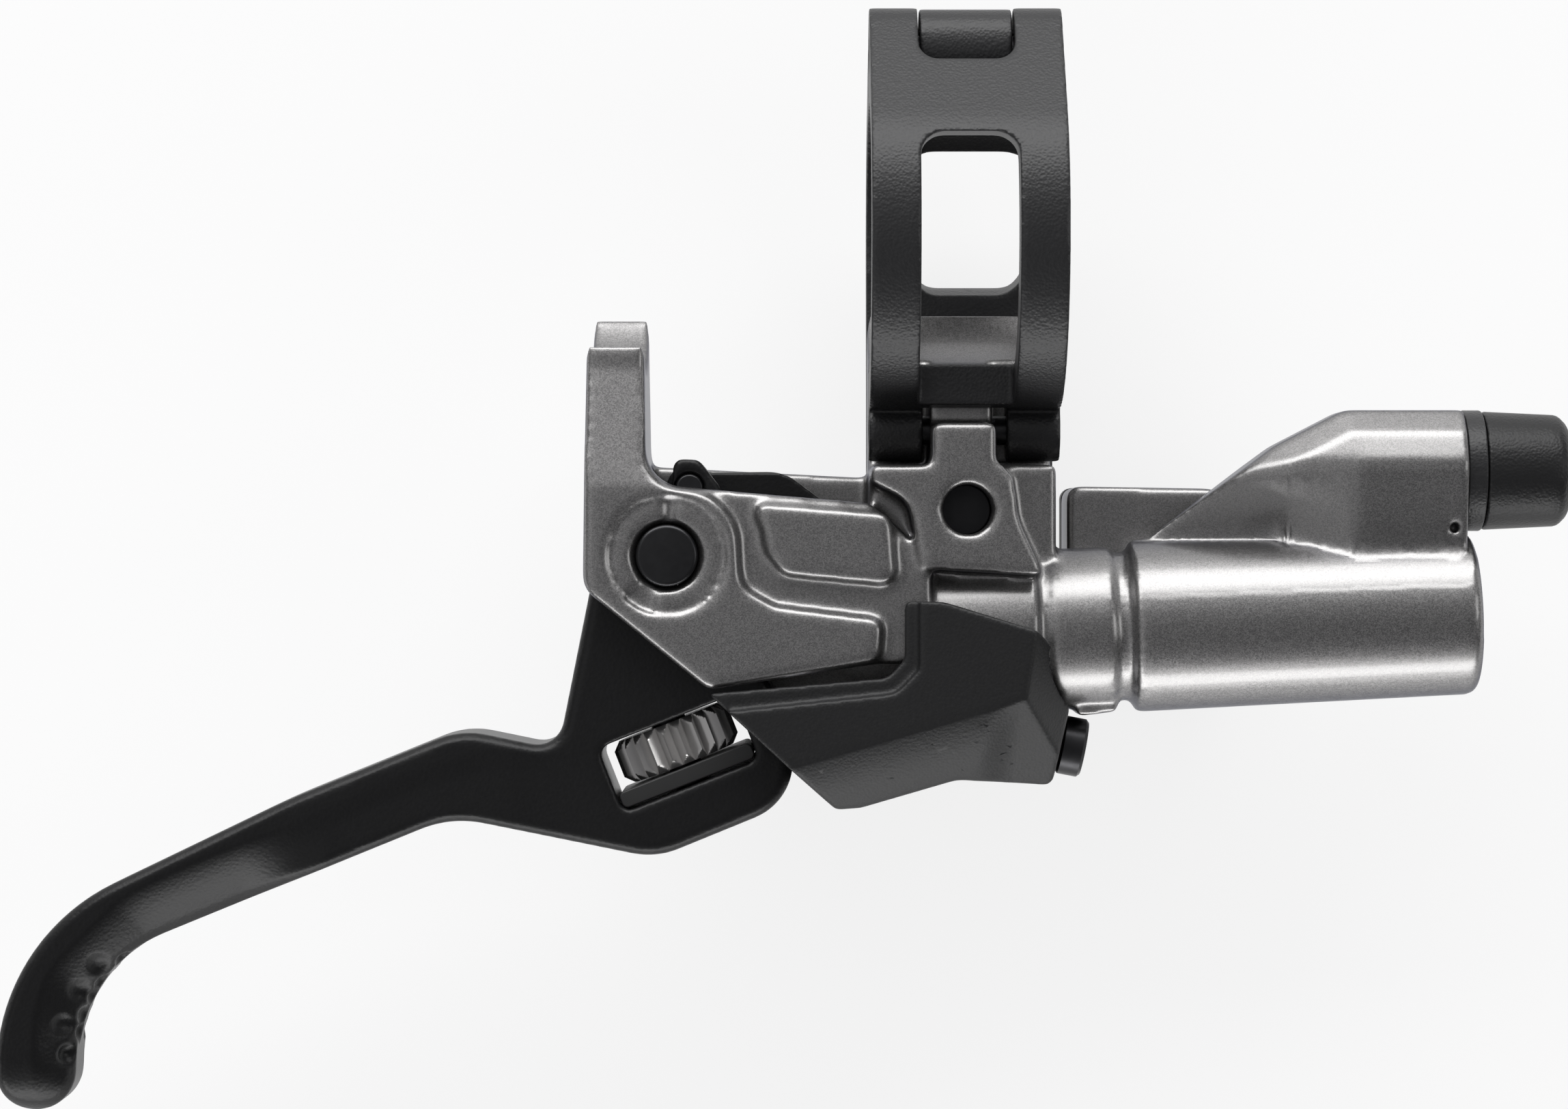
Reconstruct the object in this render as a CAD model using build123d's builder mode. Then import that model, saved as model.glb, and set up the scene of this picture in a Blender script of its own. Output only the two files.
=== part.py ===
"""Hydraulic brake lever for a flat bicycle handlebar, in millimetres.

X runs along the handlebar, away from the grip. Y points from the lever's blade towards the rider.
Z points up out of the clamp's front band. The origin is the bar's centre, half way along the clamp.
"""

import os
from math import cos, hypot, radians, sin

from build123d import *

os.makedirs("parts", exist_ok=True)

# Handlebar clamp
bar_radius = 11.1
clamp_width = 16.0
band_wall = 3.3
band_window_width = 8.0
hinge_pin_radius = 1.5
hinge_boss_radius = 3.8
foot_pin_radius = 1.25
foot_radius = 2.6
foot_gap_width = 7.0
clamp_bolt_radius = 2.5
clamp_bolt_tip = 2.2
ear_thickness = 3.0
ear_gap = 0.9

# Lever and its pivot
pivot_x = -24.7
pivot_depth = 15.5
pivot_pin_radius = 2.55
lever_thickness = 11.0
blade_thickness = 9.6
blade_chamfer = 0.6
dimple_radius = 1.1
hub_radius = 5.5
ring_radius = 4.95
bushing_wall = 0.85

# Push link and its pin
link_pin_radius = 1.2
link_thickness = 3.6
link_eye_radius = 2.0
link_tip_radius = 1.75
link_tip_clearance = 0.25

# Reach adjuster in the blade's window
window_width = 12.0
window_height = 5.7
window_tilt = 21.5
wheel_radius = 5.15
wheel_thickness = 3.7
wheel_teeth = 24
tooth_depth = 0.75
adjuster_screw_radius = 1.5

# Body casting
wall_outer = 9.2
valley_level = 7.4
pad_height = 1.0
pad_round = 0.6
neck_top = 8.0
neck_bottom = -9.4
strip_top = 3.5
boss_width = 5.2
arm_left = -31.3
arm_right = -26.7
arm_tip_level = 6.2
tub_floor = -9.0
tub_rim = -15.0
tub_wall = 1.8

# Master cylinder
mouth_x = -4.0
mouth_depth = 22.08
cylinder_tilt = 2.2
bore_radius = 5.0
bore_length = 41.0
tube_length = 46.6
tube_wall = 2.2
tube_taper = 0.4
collar_start = 11.2
collar_length = 5.1
groove_width = 1.3
groove_depth = 0.75

# Piston group
rod_radius = 2.4
washer_start = 0.8
washer_thickness = 1.0
piston_length = 14.0
seal_width = 1.8
seal_groove = 1.4
ring_groove = 0.7
spring_wire = 0.45
spring_turns = 7

# Reservoir lid
diaphragm_thickness = 0.7
lid_thickness = 2.2
lid_screw_radius = 1.2
lid_screw_head_radius = 2.3
lid_screw_head_height = 1.3
bleed_radius = 2.5

# Hose end
hose_depth = 8.4
hose_radius = 2.55
hose_boss_half = 5.8
boss_bevel = 1.9
boss_shoulder_bevel = 4.2
boss_shoulder_slope = 0.42
nut_thread_radius = 4.0
nut_collar_radius = 5.05
nut_collar_length = 1.6
boot_length = 7.1
boot_tip_radius = 4.65

# Linkage cover and free stroke screw
cover_half = 9.3
cover_skin = 1.5
cover_strip_depth = 0.6
stroke_screw_radius = 1.5
stroke_head_radius = 2.45
stroke_head_length = 2.1
stroke_screw_length = 10.5
stroke_lug_half = 2.4
cover_screw_radius = 1.0
cover_screw_head_radius = 2.0
cover_tab_thickness = 1.7
lower_facet_slope = 0.88
end_facet_slope = 1.3

# Clearances
running_gap = 0.05
side_gap = 0.3
seat_gap = 0.2

# Values that follow from the ones above
band_outer = bar_radius + band_wall
half_clamp = clamp_width / 2
hinge_y = band_outer + 0.9
hinge_z = 0.6
foot_y = -bar_radius - 5.0
foot_z = -1.6
pivot_y = -bar_radius - pivot_depth
slot_half = lever_thickness / 2 + side_gap
pad_level = valley_level + pad_height
axis_dir = (cos(radians(cylinder_tilt)), sin(radians(cylinder_tilt)))
mouth_y = -bar_radius - mouth_depth
tube_radius = bore_radius + tube_wall
bolt_y = -bar_radius - 11.7
ear_top = neck_bottom - ear_gap
ear_bottom = ear_top - ear_thickness
hose_y = -bar_radius - hose_depth
boss_left = -boss_width / 2 - 0.3
hose_face_x = mouth_x + tube_length - 1.1


def below(x, depth):
    """Point at x along the bar and depth under the bar's lower surface line."""
    return (x, -bar_radius - depth)


def from_pivot(x, y):
    """Point given from the lever's pivot."""
    return (pivot_x + x, pivot_y + y)


def along(distance, side=0.0):
    """Point at a distance along the cylinder's axis from its mouth, moved sideways by side."""
    return (
        mouth_x + distance * axis_dir[0] - side * axis_dir[1],
        mouth_y + distance * axis_dir[1] + side * axis_dir[0],
    )


def polar_point(radius, angle):
    """Point at a radius and an angle in degrees round the pivot."""
    return from_pivot(radius * cos(radians(angle)), radius * sin(radians(angle)))


def across(origin, distance, side):
    """Point in the tilted window's own directions, from an origin."""
    turn = radians(window_tilt)
    return (
        origin[0] + distance * cos(turn) - side * sin(turn),
        origin[1] + distance * sin(turn) + side * cos(turn),
    )


cylinder_plane = Plane(origin=(mouth_x, mouth_y, 0), x_dir=(axis_dir[0], axis_dir[1], 0), z_dir=(0, 0, 1))
cylinder_axis = Axis((mouth_x, mouth_y, 0), (axis_dir[0], axis_dir[1], 0))
hose_axis = Axis((0, hose_y, 0), (1, 0, 0))

# The link's two ends: its eye on the lever's ear and its round tip in the push rod's cup
eye = from_pivot(1.8, 5.6)
tip = along(-2.0)

# The wheel's centre, and the plane whose local Y is the wheel's axis
wheel_centre = from_pivot(0.6, -15.6)
wheel_turn = radians(window_tilt)
wheel_axis_dir = (-sin(wheel_turn), cos(wheel_turn), 0)
keeper_height = window_height - wheel_thickness - 3 * seat_gap

# The free stroke screw's axis, which rises towards the lever
stroke_tilt = radians(11.0)
stroke_head_end = below(10.0, 31.65)
stroke_dir = (-cos(stroke_tilt), sin(stroke_tilt))


def along_stroke(distance, side=0.0):
    """Point at a distance along the free stroke screw from its outer end."""
    return (
        stroke_head_end[0] + distance * stroke_dir[0] - side * stroke_dir[1],
        stroke_head_end[1] + distance * stroke_dir[1] + side * stroke_dir[0],
    )


stroke_plane = Plane(origin=(*stroke_head_end, 0), z_dir=(stroke_dir[0], stroke_dir[1], 0))
cover_screw_spot = below(-8.5, 28.8)

# Upper corners of the hose boss, seen from above
boss_shoulder = below(25.6, 6.4)
boss_top_left = below(31.4, 3.4)

# Reservoir outline, its screws and its bleed port
tub_points = [
    below(-17.0, 8.7), below(-9.0, 9.1), below(-9.0, 16.7), below(9.0, 16.7), below(9.0, 9.6),
    below(21.6, 9.8), below(24.5, 12.4), below(24.5, 26.1), below(-9.0, 26.1), below(-17.0, 22.5),
]
tub_radii = [2, 1, 1.5, 1.5, 1, 2, 2, 3, 3, 3]
lid_screw_spots = [below(-13.6, 12.2), below(-12.6, 21.6), below(20.7, 14.4), below(20.7, 22.3)]
bleed_spot = below(14.5, 15.5)

def facet_wedge(line, level, slope, wall):
    """Wedge outside a facet that falls to the right of a line, moved inwards by a wall's thickness."""
    side = 1 if level > 0 else -1
    run = (line[1][0] - line[0][0], line[1][1] - line[0][1], 0)
    shift = wall * (hypot(1, slope) - 1) / slope
    reach = 24
    with BuildSketch(Plane(origin=(*line[0], level - side * wall), x_dir=(0, 0, side), z_dir=run)) as wedge:
        with BuildLine():
            Polyline(
                (0.5, -side * (shift + 0.5 / slope)), (-slope * (reach + shift), side * reach),
                (0.5, side * reach),
                close=True,
            )
        make_face()
    return wedge.sketch


# Body casting
with BuildPart() as body_casting:
    # Hose boss: a block whose outer edges are bevelled, falling in two slopes into a web on its left
    with BuildSketch(Plane.XY.offset(-hose_boss_half)):
        with BuildLine():
            FilletPolyline(
                below(15.0, 14.3), boss_shoulder, boss_top_left, (hose_face_x, boss_top_left[1]),
                below(hose_face_x, 16.8), below(32.0, 17.2), below(27.0, 16.4), below(17.0, 18.5),
                radius=[0.5, 2.5, 2.5, 0, 0, 5, 5, 0],
                close=True,
            )
        make_face()
    extrude(amount=2 * hose_boss_half)
    fall = (boss_shoulder_bevel - boss_bevel) * boss_shoulder_slope
    for side in (1, -1):
        for inset, level, slope in (
            (boss_shoulder_bevel, hose_boss_half, boss_shoulder_slope),
            (boss_bevel, hose_boss_half - fall, 1.1),
        ):
            top_line = ((hose_face_x, boss_top_left[1] - inset), (boss_top_left[0], boss_top_left[1] - inset))
            slant_line = (
                (boss_top_left[0] + 0.47 * inset, boss_top_left[1] - 0.89 * inset),
                (boss_shoulder[0] + 0.47 * inset, boss_shoulder[1] - 0.89 * inset),
            )
            for line in (top_line, slant_line):
                extrude(facet_wedge(line, side * level, slope, 0), amount=40, both=True, mode=Mode.SUBTRACT)
        for line, level, slope in (
            (((32.5, 0), (32.5, -40)), hose_boss_half, 0.2),
            (((26.9, 0), (26.9, -40)), hose_boss_half - 1.1, 0.33),
        ):
            extrude(facet_wedge(line, side * level, slope, 0), amount=40, both=True, mode=Mode.SUBTRACT)

    # Plate and brace arm as one block
    with BuildSketch(Plane.XY.offset(-wall_outer)):
        with BuildLine():
            FilletPolyline(
                below(arm_left, -7.1), below(-31.6, 18.2), below(-21.3, 26.5), below(-7.4, 24.4),
                below(-3.0, 24.4), below(-3.0, 15.9), below(-8.0, 11.2), below(-26.4, 9.6),
                below(arm_right, -7.1),
                radius=[0.8, 2.2, 1.2, 1, 1, 1, 1, 3.2, 0.8],
                close=True,
            )
        make_face()
    extrude(amount=wall_outer + valley_level)

    # The lower wall's top edge stands a little higher than the upper wall's
    with BuildSketch(Plane.XY.offset(-wall_outer)):
        with BuildLine():
            Polyline(
                below(-27.5, 7.9), below(-8.0, 8.9), below(-8.0, 14.0), below(-27.5, 14.0), close=True
            )
        make_face()
    extrude(amount=wall_outer - slot_half)

    # Raised face round the pivot, down the arm and along the lower edge
    with BuildSketch(Plane.XY.offset(valley_level)):
        with BuildLine():
            FilletPolyline(
                below(arm_left, -7.1), below(-31.6, 18.2), below(-21.3, 26.5), below(-7.2, 24.2),
                below(-6.9, 20.7), below(-15.8, 19.6), below(-18.6, 18.0), below(-19.0, 10.6),
                below(-26.6, 9.6), below(arm_right, -7.1),
                radius=[0.8, 2.2, 1.2, 1.2, 1.0, 2.0, 2.0, 4.6, 3.0, 0.8],
                close=True,
            )
        make_face()
    extrude(amount=pad_height)
    with BuildSketch(Plane.XY.offset(valley_level)):
        with BuildLine():
            FilletPolyline(
                below(-17.9, 11.1), below(-6.3, 12.0), below(-5.8, 18.0), below(-15.1, 17.1),
                below(-16.6, 15.2), below(-16.9, 13.4),
                radius=[0.8, 1.2, 1.2, 1.5, 1.5, 1.5],
                close=True,
            )
        make_face()
    extrude(amount=pad_height)
    fillet(edges().group_by(Axis.Z)[-1], radius=pad_round)

    # Neck: a full-width block under the clamp, with a narrower plate and the foot boss above it
    with BuildSketch(Plane.XY.offset(neck_bottom)):
        with BuildLine():
            FilletPolyline(
                (-half_clamp, 0), (-half_clamp, -bar_radius - 19), below(7.5, 19.0), below(7.5, -11.1),
                radius=[0, 0, 0, 0],
                close=True,
            )
        make_face()
    extrude(amount=strip_top - neck_bottom)
    with BuildSketch(Plane.XY.offset(strip_top)):
        with BuildLine():
            FilletPolyline(
                (-half_clamp, -bar_radius - 8.1), below(-half_clamp, 9.4), below(-4.9, 11.0),
                below(-3.8, 16.6), below(6.3, 17.2), below(4.2, 12.6), below(3.7, 9.0),
                below(boss_width / 2 + 0.1, 8.0), below(boss_width / 2 - 0.3, 4.3),
                below(-boss_width / 2 - 0.3, 4.3), below(-boss_width / 2 - 0.3, 8.1),
                radius=[0.5, 0.5, 2.2, 0.5, 0.5, 2.5, 0.8, 0.8, 0.9, 0.9, 0.9],
                close=True,
            )
        make_face()
    extrude(amount=neck_top - strip_top)
    with BuildSketch(Plane.YZ.offset(-boss_width / 2 - 0.3)):
        with Locations((foot_y, foot_z)):
            Circle(foot_radius)
    extrude(amount=boss_width)

    # Reservoir tub under the cylinder
    with BuildSketch(Plane.XY.offset(tub_rim)):
        with BuildLine():
            FilletPolyline(*tub_points, radius=tub_radii, close=True)
        make_face()
    extrude(amount=-tub_rim - slot_half)

    # Cylinder with its collar between two grooves, tapering to the closed end
    with BuildSketch(cylinder_plane):
        with BuildLine():
            Polyline(
                (0, 0), (0, tube_radius - 0.6), (0.6, tube_radius),
                (collar_start - groove_width, tube_radius),
                (collar_start - groove_width, tube_radius - groove_depth),
                (collar_start, tube_radius - groove_depth),
                (collar_start, tube_radius - 0.5),
                (collar_start + collar_length, tube_radius - 0.5),
                (collar_start + collar_length, tube_radius - groove_depth - 0.3),
                (collar_start + collar_length + groove_width, tube_radius - groove_depth - 0.3),
                (collar_start + collar_length + groove_width + 0.5, tube_radius),
                (tube_length - 0.6, tube_radius - tube_taper),
                (tube_length, tube_radius - tube_taper - 0.6),
                (tube_length, 0),
                close=True,
            )
        make_face()
    revolve(axis=cylinder_axis)

    # Lug under the cylinder that takes the free stroke screw, and a small web beside the cover's end
    with BuildSketch(Plane.XY.offset(-stroke_lug_half)):
        with BuildLine():
            Polyline(
                below(-3.0, 24.0), below(5.3, 24.0), below(5.3, 32.75), below(-0.8, 32.25),
                below(-3.0, 32.25),
                close=True,
            )
        make_face()
        with BuildLine():
            Polyline(
                below(9.3, 24.0), below(13.0, 24.0), below(13.0, 27.2), below(12.5, 28.5), below(9.3, 28.9),
                close=True,
            )
        make_face()
    extrude(amount=2 * stroke_lug_half)

    # Flat tab behind the link that takes the cover's screw
    with BuildSketch(Plane.XY.offset(-cover_half + cover_skin + seat_gap)):
        with BuildLine():
            Polyline(
                below(-20.5, 22.0), below(-5.5, 22.0), below(-5.5, 29.3), below(-11.0, 30.7),
                below(-19.0, 28.3), below(-20.5, 26.8), close=True
            )
        make_face()
    extrude(amount=cover_tab_thickness)

    # The slot for the lever and link, open to the left and below
    with BuildSketch(Plane.XY.offset(-slot_half)):
        with Locations((pivot_x, pivot_y)):
            Circle(hub_radius + 2 * side_gap)
        with BuildLine():
            Polyline(
                from_pivot(-16, 2.1), from_pivot(-1.5, 2.1), from_pivot(-1.5, 12.5),
                (-half_clamp - 0.05, -bar_radius - 3.0), below(-half_clamp - 0.05, 16.7),
                along(0, tube_radius + 0.1), along(0, -tube_radius - 0.1), below(-3.2, 29.0),
                below(-3.2, 45.0), from_pivot(-16, -30),
                close=True,
            )
        make_face()
    extrude(amount=2 * slot_half, mode=Mode.SUBTRACT)

    # Handlebar seat in the neck and in the arm, and the arm's sloping face
    with BuildSketch(Plane.YZ.offset(arm_left - 2)):
        Circle(bar_radius)
    extrude(amount=half_clamp - arm_left + 4, mode=Mode.SUBTRACT)
    with BuildSketch(Plane.YZ.offset(arm_left - 2)):
        with BuildLine():
            Polyline(
                (0, arm_tip_level - 0.3), (-bar_radius, arm_tip_level), (pivot_y + 5.6, pad_level),
                (pivot_y + 5.6, pad_level + 2), (0, pad_level + 2),
                close=True,
            )
        make_face()
    extrude(amount=arm_right - arm_left + 3.2, mode=Mode.SUBTRACT)
    with BuildSketch(Plane.XY.offset(neck_bottom - 1)):
        with Locations((0, 0)):
            Rectangle(2 * half_clamp + 2, 2 * 5.9)
    extrude(amount=neck_top - neck_bottom + 2, mode=Mode.SUBTRACT)
    with BuildSketch(Plane.XY.offset(-wall_outer - 1)):
        with Locations(((arm_left + arm_right) / 2, 0)):
            Rectangle(arm_right - arm_left + 2, 2 * 5.9)
    extrude(amount=2 * wall_outer + 2, mode=Mode.SUBTRACT)

    # Pockets for the clamp's two feet, beside the boss
    foot_pocket_z = foot_z - foot_radius - side_gap
    foot_pocket_width = 12.2
    with BuildSketch(Plane.XY.offset(foot_pocket_z)):
        with Locations(
            (boss_left - foot_pocket_width / 2, foot_y + 4.1),
            (boss_left + boss_width + foot_pocket_width / 2, foot_y + 4.1),
        ):
            Rectangle(foot_pocket_width, 14.1)
    extrude(amount=neck_top - foot_pocket_z + 1, mode=Mode.SUBTRACT)
    with BuildSketch(Plane.YZ.offset(-half_clamp - 1)):
        with Locations((foot_y, foot_z)):
            Circle(foot_pin_radius + running_gap)
    extrude(amount=clamp_width + 2, mode=Mode.SUBTRACT)
    # The front band's cross bar passes over the boss
    with BuildSketch(Plane.YZ.offset(-half_clamp - 1)):
        with BuildLine():
            Polyline(
                (foot_y + 1.9, foot_z + foot_radius + 0.1), (foot_y + 0.4, foot_z + foot_radius + 0.1),
                (foot_y + 0.4, neck_top + 1), (-5.9, neck_top + 1), (-5.9, foot_z + foot_radius + 0.1),
                close=True,
            )
        make_face()
    extrude(amount=clamp_width + 2, mode=Mode.SUBTRACT)

    # Clamp bolt's threaded hole, open and narrower at the top
    with BuildSketch(Plane.XY.offset(neck_bottom - 1)):
        with Locations((0, bolt_y)):
            Circle(clamp_bolt_radius + running_gap)
    extrude(amount=clamp_bolt_tip + 0.6 - neck_bottom + 1, mode=Mode.SUBTRACT)
    with BuildSketch(Plane.XY.offset(0)):
        with Locations((0, bolt_y)):
            Circle(clamp_bolt_radius - 0.4)
    extrude(amount=neck_top + 1, mode=Mode.SUBTRACT)

    # Pivot bore, the ring groove round it and two shallow notches in the ring
    with BuildSketch(Plane.XY.offset(-wall_outer - 1)):
        with Locations((pivot_x, pivot_y)):
            Circle(pivot_pin_radius + 0.03)
    extrude(amount=2 * wall_outer + 2, mode=Mode.SUBTRACT)
    with BuildSketch(Plane.XY.offset(pad_level - 1.0)):
        with Locations((pivot_x, pivot_y)):
            Circle(pivot_pin_radius + 0.4)
    extrude(amount=2, mode=Mode.SUBTRACT)
    for depth, outer, inner in ((0.3, ring_radius, 0), (0.75, ring_radius, ring_radius - 0.45)):
        with BuildSketch(Plane.XY.offset(pad_level - depth)):
            with Locations((pivot_x, pivot_y)):
                Circle(outer)
                if inner:
                    Circle(inner, mode=Mode.SUBTRACT)
        extrude(amount=2, mode=Mode.SUBTRACT)
    for start_angle, sweep_angle in ((78, 16), (222, 36)):
        with BuildSketch(Plane.XY.offset(pad_level - 0.65)):
            with BuildLine():
                Polyline(
                    (pivot_x, pivot_y), polar_point(ring_radius, start_angle),
                    polar_point(ring_radius, start_angle + sweep_angle),
                    close=True,
                )
            make_face()
        extrude(amount=2, mode=Mode.SUBTRACT)
    with BuildSketch(Plane.XY.offset(-wall_outer - 1)):
        with Locations((pivot_x, pivot_y)):
            Circle(pivot_pin_radius + 2.2)
    extrude(amount=1.6, mode=Mode.SUBTRACT)

    # Bore with the stop washer's step and the retaining ring's groove
    with BuildSketch(cylinder_plane):
        with BuildLine():
            Polyline(
                (-1, 0), (-1, bore_radius + 0.6), (0.2, bore_radius + 0.6),
                (0.2, bore_radius + ring_groove + 0.6),
                (washer_start, bore_radius + ring_groove + 0.6), (washer_start, bore_radius + 0.6),
                (washer_start + washer_thickness, bore_radius + 0.6),
                (washer_start + washer_thickness, bore_radius),
                (bore_length, bore_radius), (bore_length + 1.5, 0),
                close=True,
            )
        make_face()
    revolve(axis=cylinder_axis, mode=Mode.SUBTRACT)

    # Reservoir cavity with posts for the lid's screws, and the two ports into the bore
    with BuildSketch(Plane.XY.offset(tub_rim)):
        with BuildLine():
            FilletPolyline(*tub_points, radius=tub_radii, close=True)
        make_face()
        offset(amount=-tub_wall, kind=Kind.INTERSECTION)
        with Locations(*lid_screw_spots):
            Circle(lid_screw_radius + 1.4, mode=Mode.SUBTRACT)
    extrude(amount=tub_floor - tub_rim, mode=Mode.SUBTRACT)
    with BuildSketch(Plane.XY.offset(tub_rim)):
        with Locations(*lid_screw_spots):
            Circle(lid_screw_radius + running_gap)
    extrude(amount=5.5, mode=Mode.SUBTRACT)
    for port_distance, port_radius in [(washer_start + 15.2, 0.6), (washer_start + 17.6, 0.35)]:
        with BuildSketch(Plane.XY.offset(tub_floor - 1)):
            with Locations(along(port_distance)):
                Circle(port_radius)
        extrude(amount=-tub_floor + 1 - bore_radius + 1, mode=Mode.SUBTRACT)

    # Hose port, the drilling from it into the bore, and a small dowel hole
    with BuildSketch(Plane.YZ.offset(hose_face_x + 1)):
        with Locations((hose_y, 0)):
            Circle(nut_thread_radius)
    extrude(amount=-9.5, mode=Mode.SUBTRACT)
    with BuildSketch(Plane(origin=(hose_face_x - 8.0, hose_y, 0), z_dir=(-0.5, -1, 0))):
        Circle(1.0)
    extrude(amount=11, mode=Mode.SUBTRACT)
    with BuildSketch(Plane.XY.offset(hose_boss_half - 2)):
        with Locations(below(hose_face_x - 1.1, 13.2)):
            Circle(0.45)
    extrude(amount=3, mode=Mode.SUBTRACT)

    # Threaded holes in the lug and the tab
    with BuildSketch(stroke_plane):
        Circle(stroke_screw_radius + running_gap)
    extrude(amount=stroke_screw_length + 0.4, mode=Mode.SUBTRACT)
    with BuildSketch(Plane.XY.offset(-cover_half)):
        with Locations(cover_screw_spot):
            Circle(cover_screw_radius + running_gap)
    extrude(amount=cover_half - slot_half, mode=Mode.SUBTRACT)
body_casting.part.label = "body_casting"

# Front clamp band: half ring with two hinge knuckles, a window, a cross bar and two feet
with BuildPart() as clamp_front_band:
    with BuildSketch(Plane.YZ.offset(-half_clamp)):
        Circle(band_outer)
        with Locations((hinge_y, hinge_z)):
            Circle(hinge_boss_radius)
        make_hull()
        with Locations((0, -band_outer)):
            Rectangle(4 * band_outer, 2 * band_outer - 0.4, mode=Mode.SUBTRACT)
        with Locations((hinge_y, hinge_z)):
            Circle(hinge_boss_radius)
        with BuildLine():
            Polyline(
                (-bar_radius + 0.5, 0.5), (-band_outer, 0.5), (foot_y - foot_radius, foot_z),
                (foot_y, foot_z - foot_radius), (-bar_radius + 0.2, foot_z - 0.6),
                close=True,
            )
        make_face()
        with Locations((foot_y, foot_z)):
            Circle(foot_radius)
        Circle(bar_radius, mode=Mode.SUBTRACT)
        with Locations((hinge_y, hinge_z)):
            Circle(hinge_pin_radius + running_gap, mode=Mode.SUBTRACT)
        with Locations((foot_y, foot_z)):
            Circle(foot_pin_radius + running_gap, mode=Mode.SUBTRACT)
    extrude(amount=clamp_width)
    # Window over the bar, and the slot between the hinge knuckles
    with BuildSketch(Plane.XY.offset(foot_z + foot_radius + 2.2)):
        with BuildLine():
            FilletPolyline(
                (-band_window_width / 2, -band_outer - 3), (-band_window_width / 2, bar_radius - 3.3),
                (band_window_width / 2, bar_radius - 3.3), (band_window_width / 2, -band_outer - 3),
                radius=[0, 2.0, 2.0, 0],
                close=True,
            )
        make_face()
    extrude(amount=band_outer, mode=Mode.SUBTRACT)
    with BuildSketch(Plane.XY.offset(-band_outer)):
        with BuildLine():
            FilletPolyline(
                (-band_window_width / 2, hinge_y + 5), (-band_window_width / 2, hinge_y - 1.0),
                (band_window_width / 2, hinge_y - 1.0), (band_window_width / 2, hinge_y + 5),
                radius=[0, 1.6, 1.6, 0],
                close=True,
            )
        make_face()
    extrude(amount=2 * band_outer, mode=Mode.SUBTRACT)
    with BuildSketch(Plane.YZ.offset(-band_window_width / 2)):
        with Locations((hinge_y, hinge_z)):
            Circle(hinge_boss_radius - 0.4)
    extrude(amount=band_window_width, mode=Mode.SUBTRACT)
    with BuildSketch(Plane.XY.offset(hinge_z - 0.8)):
        with Locations((0, hinge_y)):
            Rectangle(band_window_width, 2 * hinge_y)
    extrude(amount=-band_outer, mode=Mode.SUBTRACT)
    # Gap between the two feet, under the cross bar
    with BuildSketch(Plane.XY.offset(foot_z + foot_radius + 0.35)):
        with Locations((0, foot_y)):
            Rectangle(foot_gap_width, 2 * (bar_radius - 5.9))
    extrude(amount=-2 * foot_radius - 1, mode=Mode.SUBTRACT)
clamp_front_band.part.label = "clamp_front_band"

# Rear clamp band: half ring with the middle knuckle, a window and a flat ear for the bolt
with BuildPart() as clamp_rear_band:
    with BuildSketch(Plane.YZ.offset(-half_clamp)):
        Circle(band_outer)
        with Locations((hinge_y, hinge_z)):
            Circle(hinge_boss_radius)
        make_hull()
        with Locations((0, band_outer - 0.4)):
            Rectangle(4 * band_outer, 2 * band_outer, mode=Mode.SUBTRACT)
        with Locations((-band_outer, 0)):
            Rectangle(2 * (band_outer - 4.0), 4 * band_outer, mode=Mode.SUBTRACT)
        with BuildLine():
            FilletPolyline(
                (-3.0, ear_top), (-3.0, ear_bottom - 0.9), (-6.5, ear_bottom), (bolt_y - 4.6, ear_bottom),
                (bolt_y - 4.6, ear_top),
                radius=[0, 0, 2, 0, 0],
                close=True,
            )
        make_face()
        Circle(bar_radius, mode=Mode.SUBTRACT)
    extrude(amount=clamp_width)
    with BuildSketch(Plane.YZ.offset(-half_clamp - 1)):
        with Locations((hinge_y, hinge_z)):
            Circle(hinge_boss_radius + 0.3)
    extrude(amount=clamp_width + 2, mode=Mode.SUBTRACT)
    knuckle_half = band_window_width / 2 - 0.15
    with BuildSketch(Plane.YZ.offset(-knuckle_half)):
        with Locations((hinge_y, hinge_z)):
            Circle(hinge_boss_radius - 0.6)
        with BuildLine():
            Polyline(
                (hinge_y + hinge_boss_radius - 0.6, hinge_z), (hinge_y + 1.2, -3.6), (bar_radius + 0.9, -5.5),
                (bar_radius - 0.6, -2.6), (hinge_y - hinge_boss_radius + 0.7, hinge_z - 1.0),
                close=True,
            )
        make_face()
        Circle(bar_radius, mode=Mode.SUBTRACT)
    extrude(amount=2 * knuckle_half)
    with BuildSketch(Plane.YZ.offset(-half_clamp - 1)):
        with Locations((hinge_y, hinge_z)):
            Circle(hinge_pin_radius + running_gap)
    extrude(amount=clamp_width + 2, mode=Mode.SUBTRACT)
    with BuildSketch(Plane.XY.offset(-5.0)):
        RectangleRounded(band_window_width, 11.2, 1.8)
    extrude(amount=-band_outer, mode=Mode.SUBTRACT)
    # Rounded end of the ear and the bolt's clearance hole
    with BuildSketch(Plane.XY.offset(ear_bottom - 2)):
        with Locations((0, bolt_y)):
            Circle(clamp_bolt_radius + 0.25)
    extrude(amount=ear_thickness + 3, mode=Mode.SUBTRACT)
    corner_edges = edges().filter_by(Axis.Z).group_by(Axis.Y)[0]
    fillet(corner_edges, radius=3.0)
clamp_rear_band.part.label = "clamp_rear_band"

with BuildPart() as clamp_hinge_pin:
    with BuildSketch(Plane.YZ.offset(-half_clamp + 0.2)):
        with Locations((hinge_y, hinge_z)):
            Circle(hinge_pin_radius)
    extrude(amount=clamp_width - 0.4)
    chamfer(edges().filter_by(GeomType.CIRCLE), length=0.25)
clamp_hinge_pin.part.label = "clamp_hinge_pin"

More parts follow.
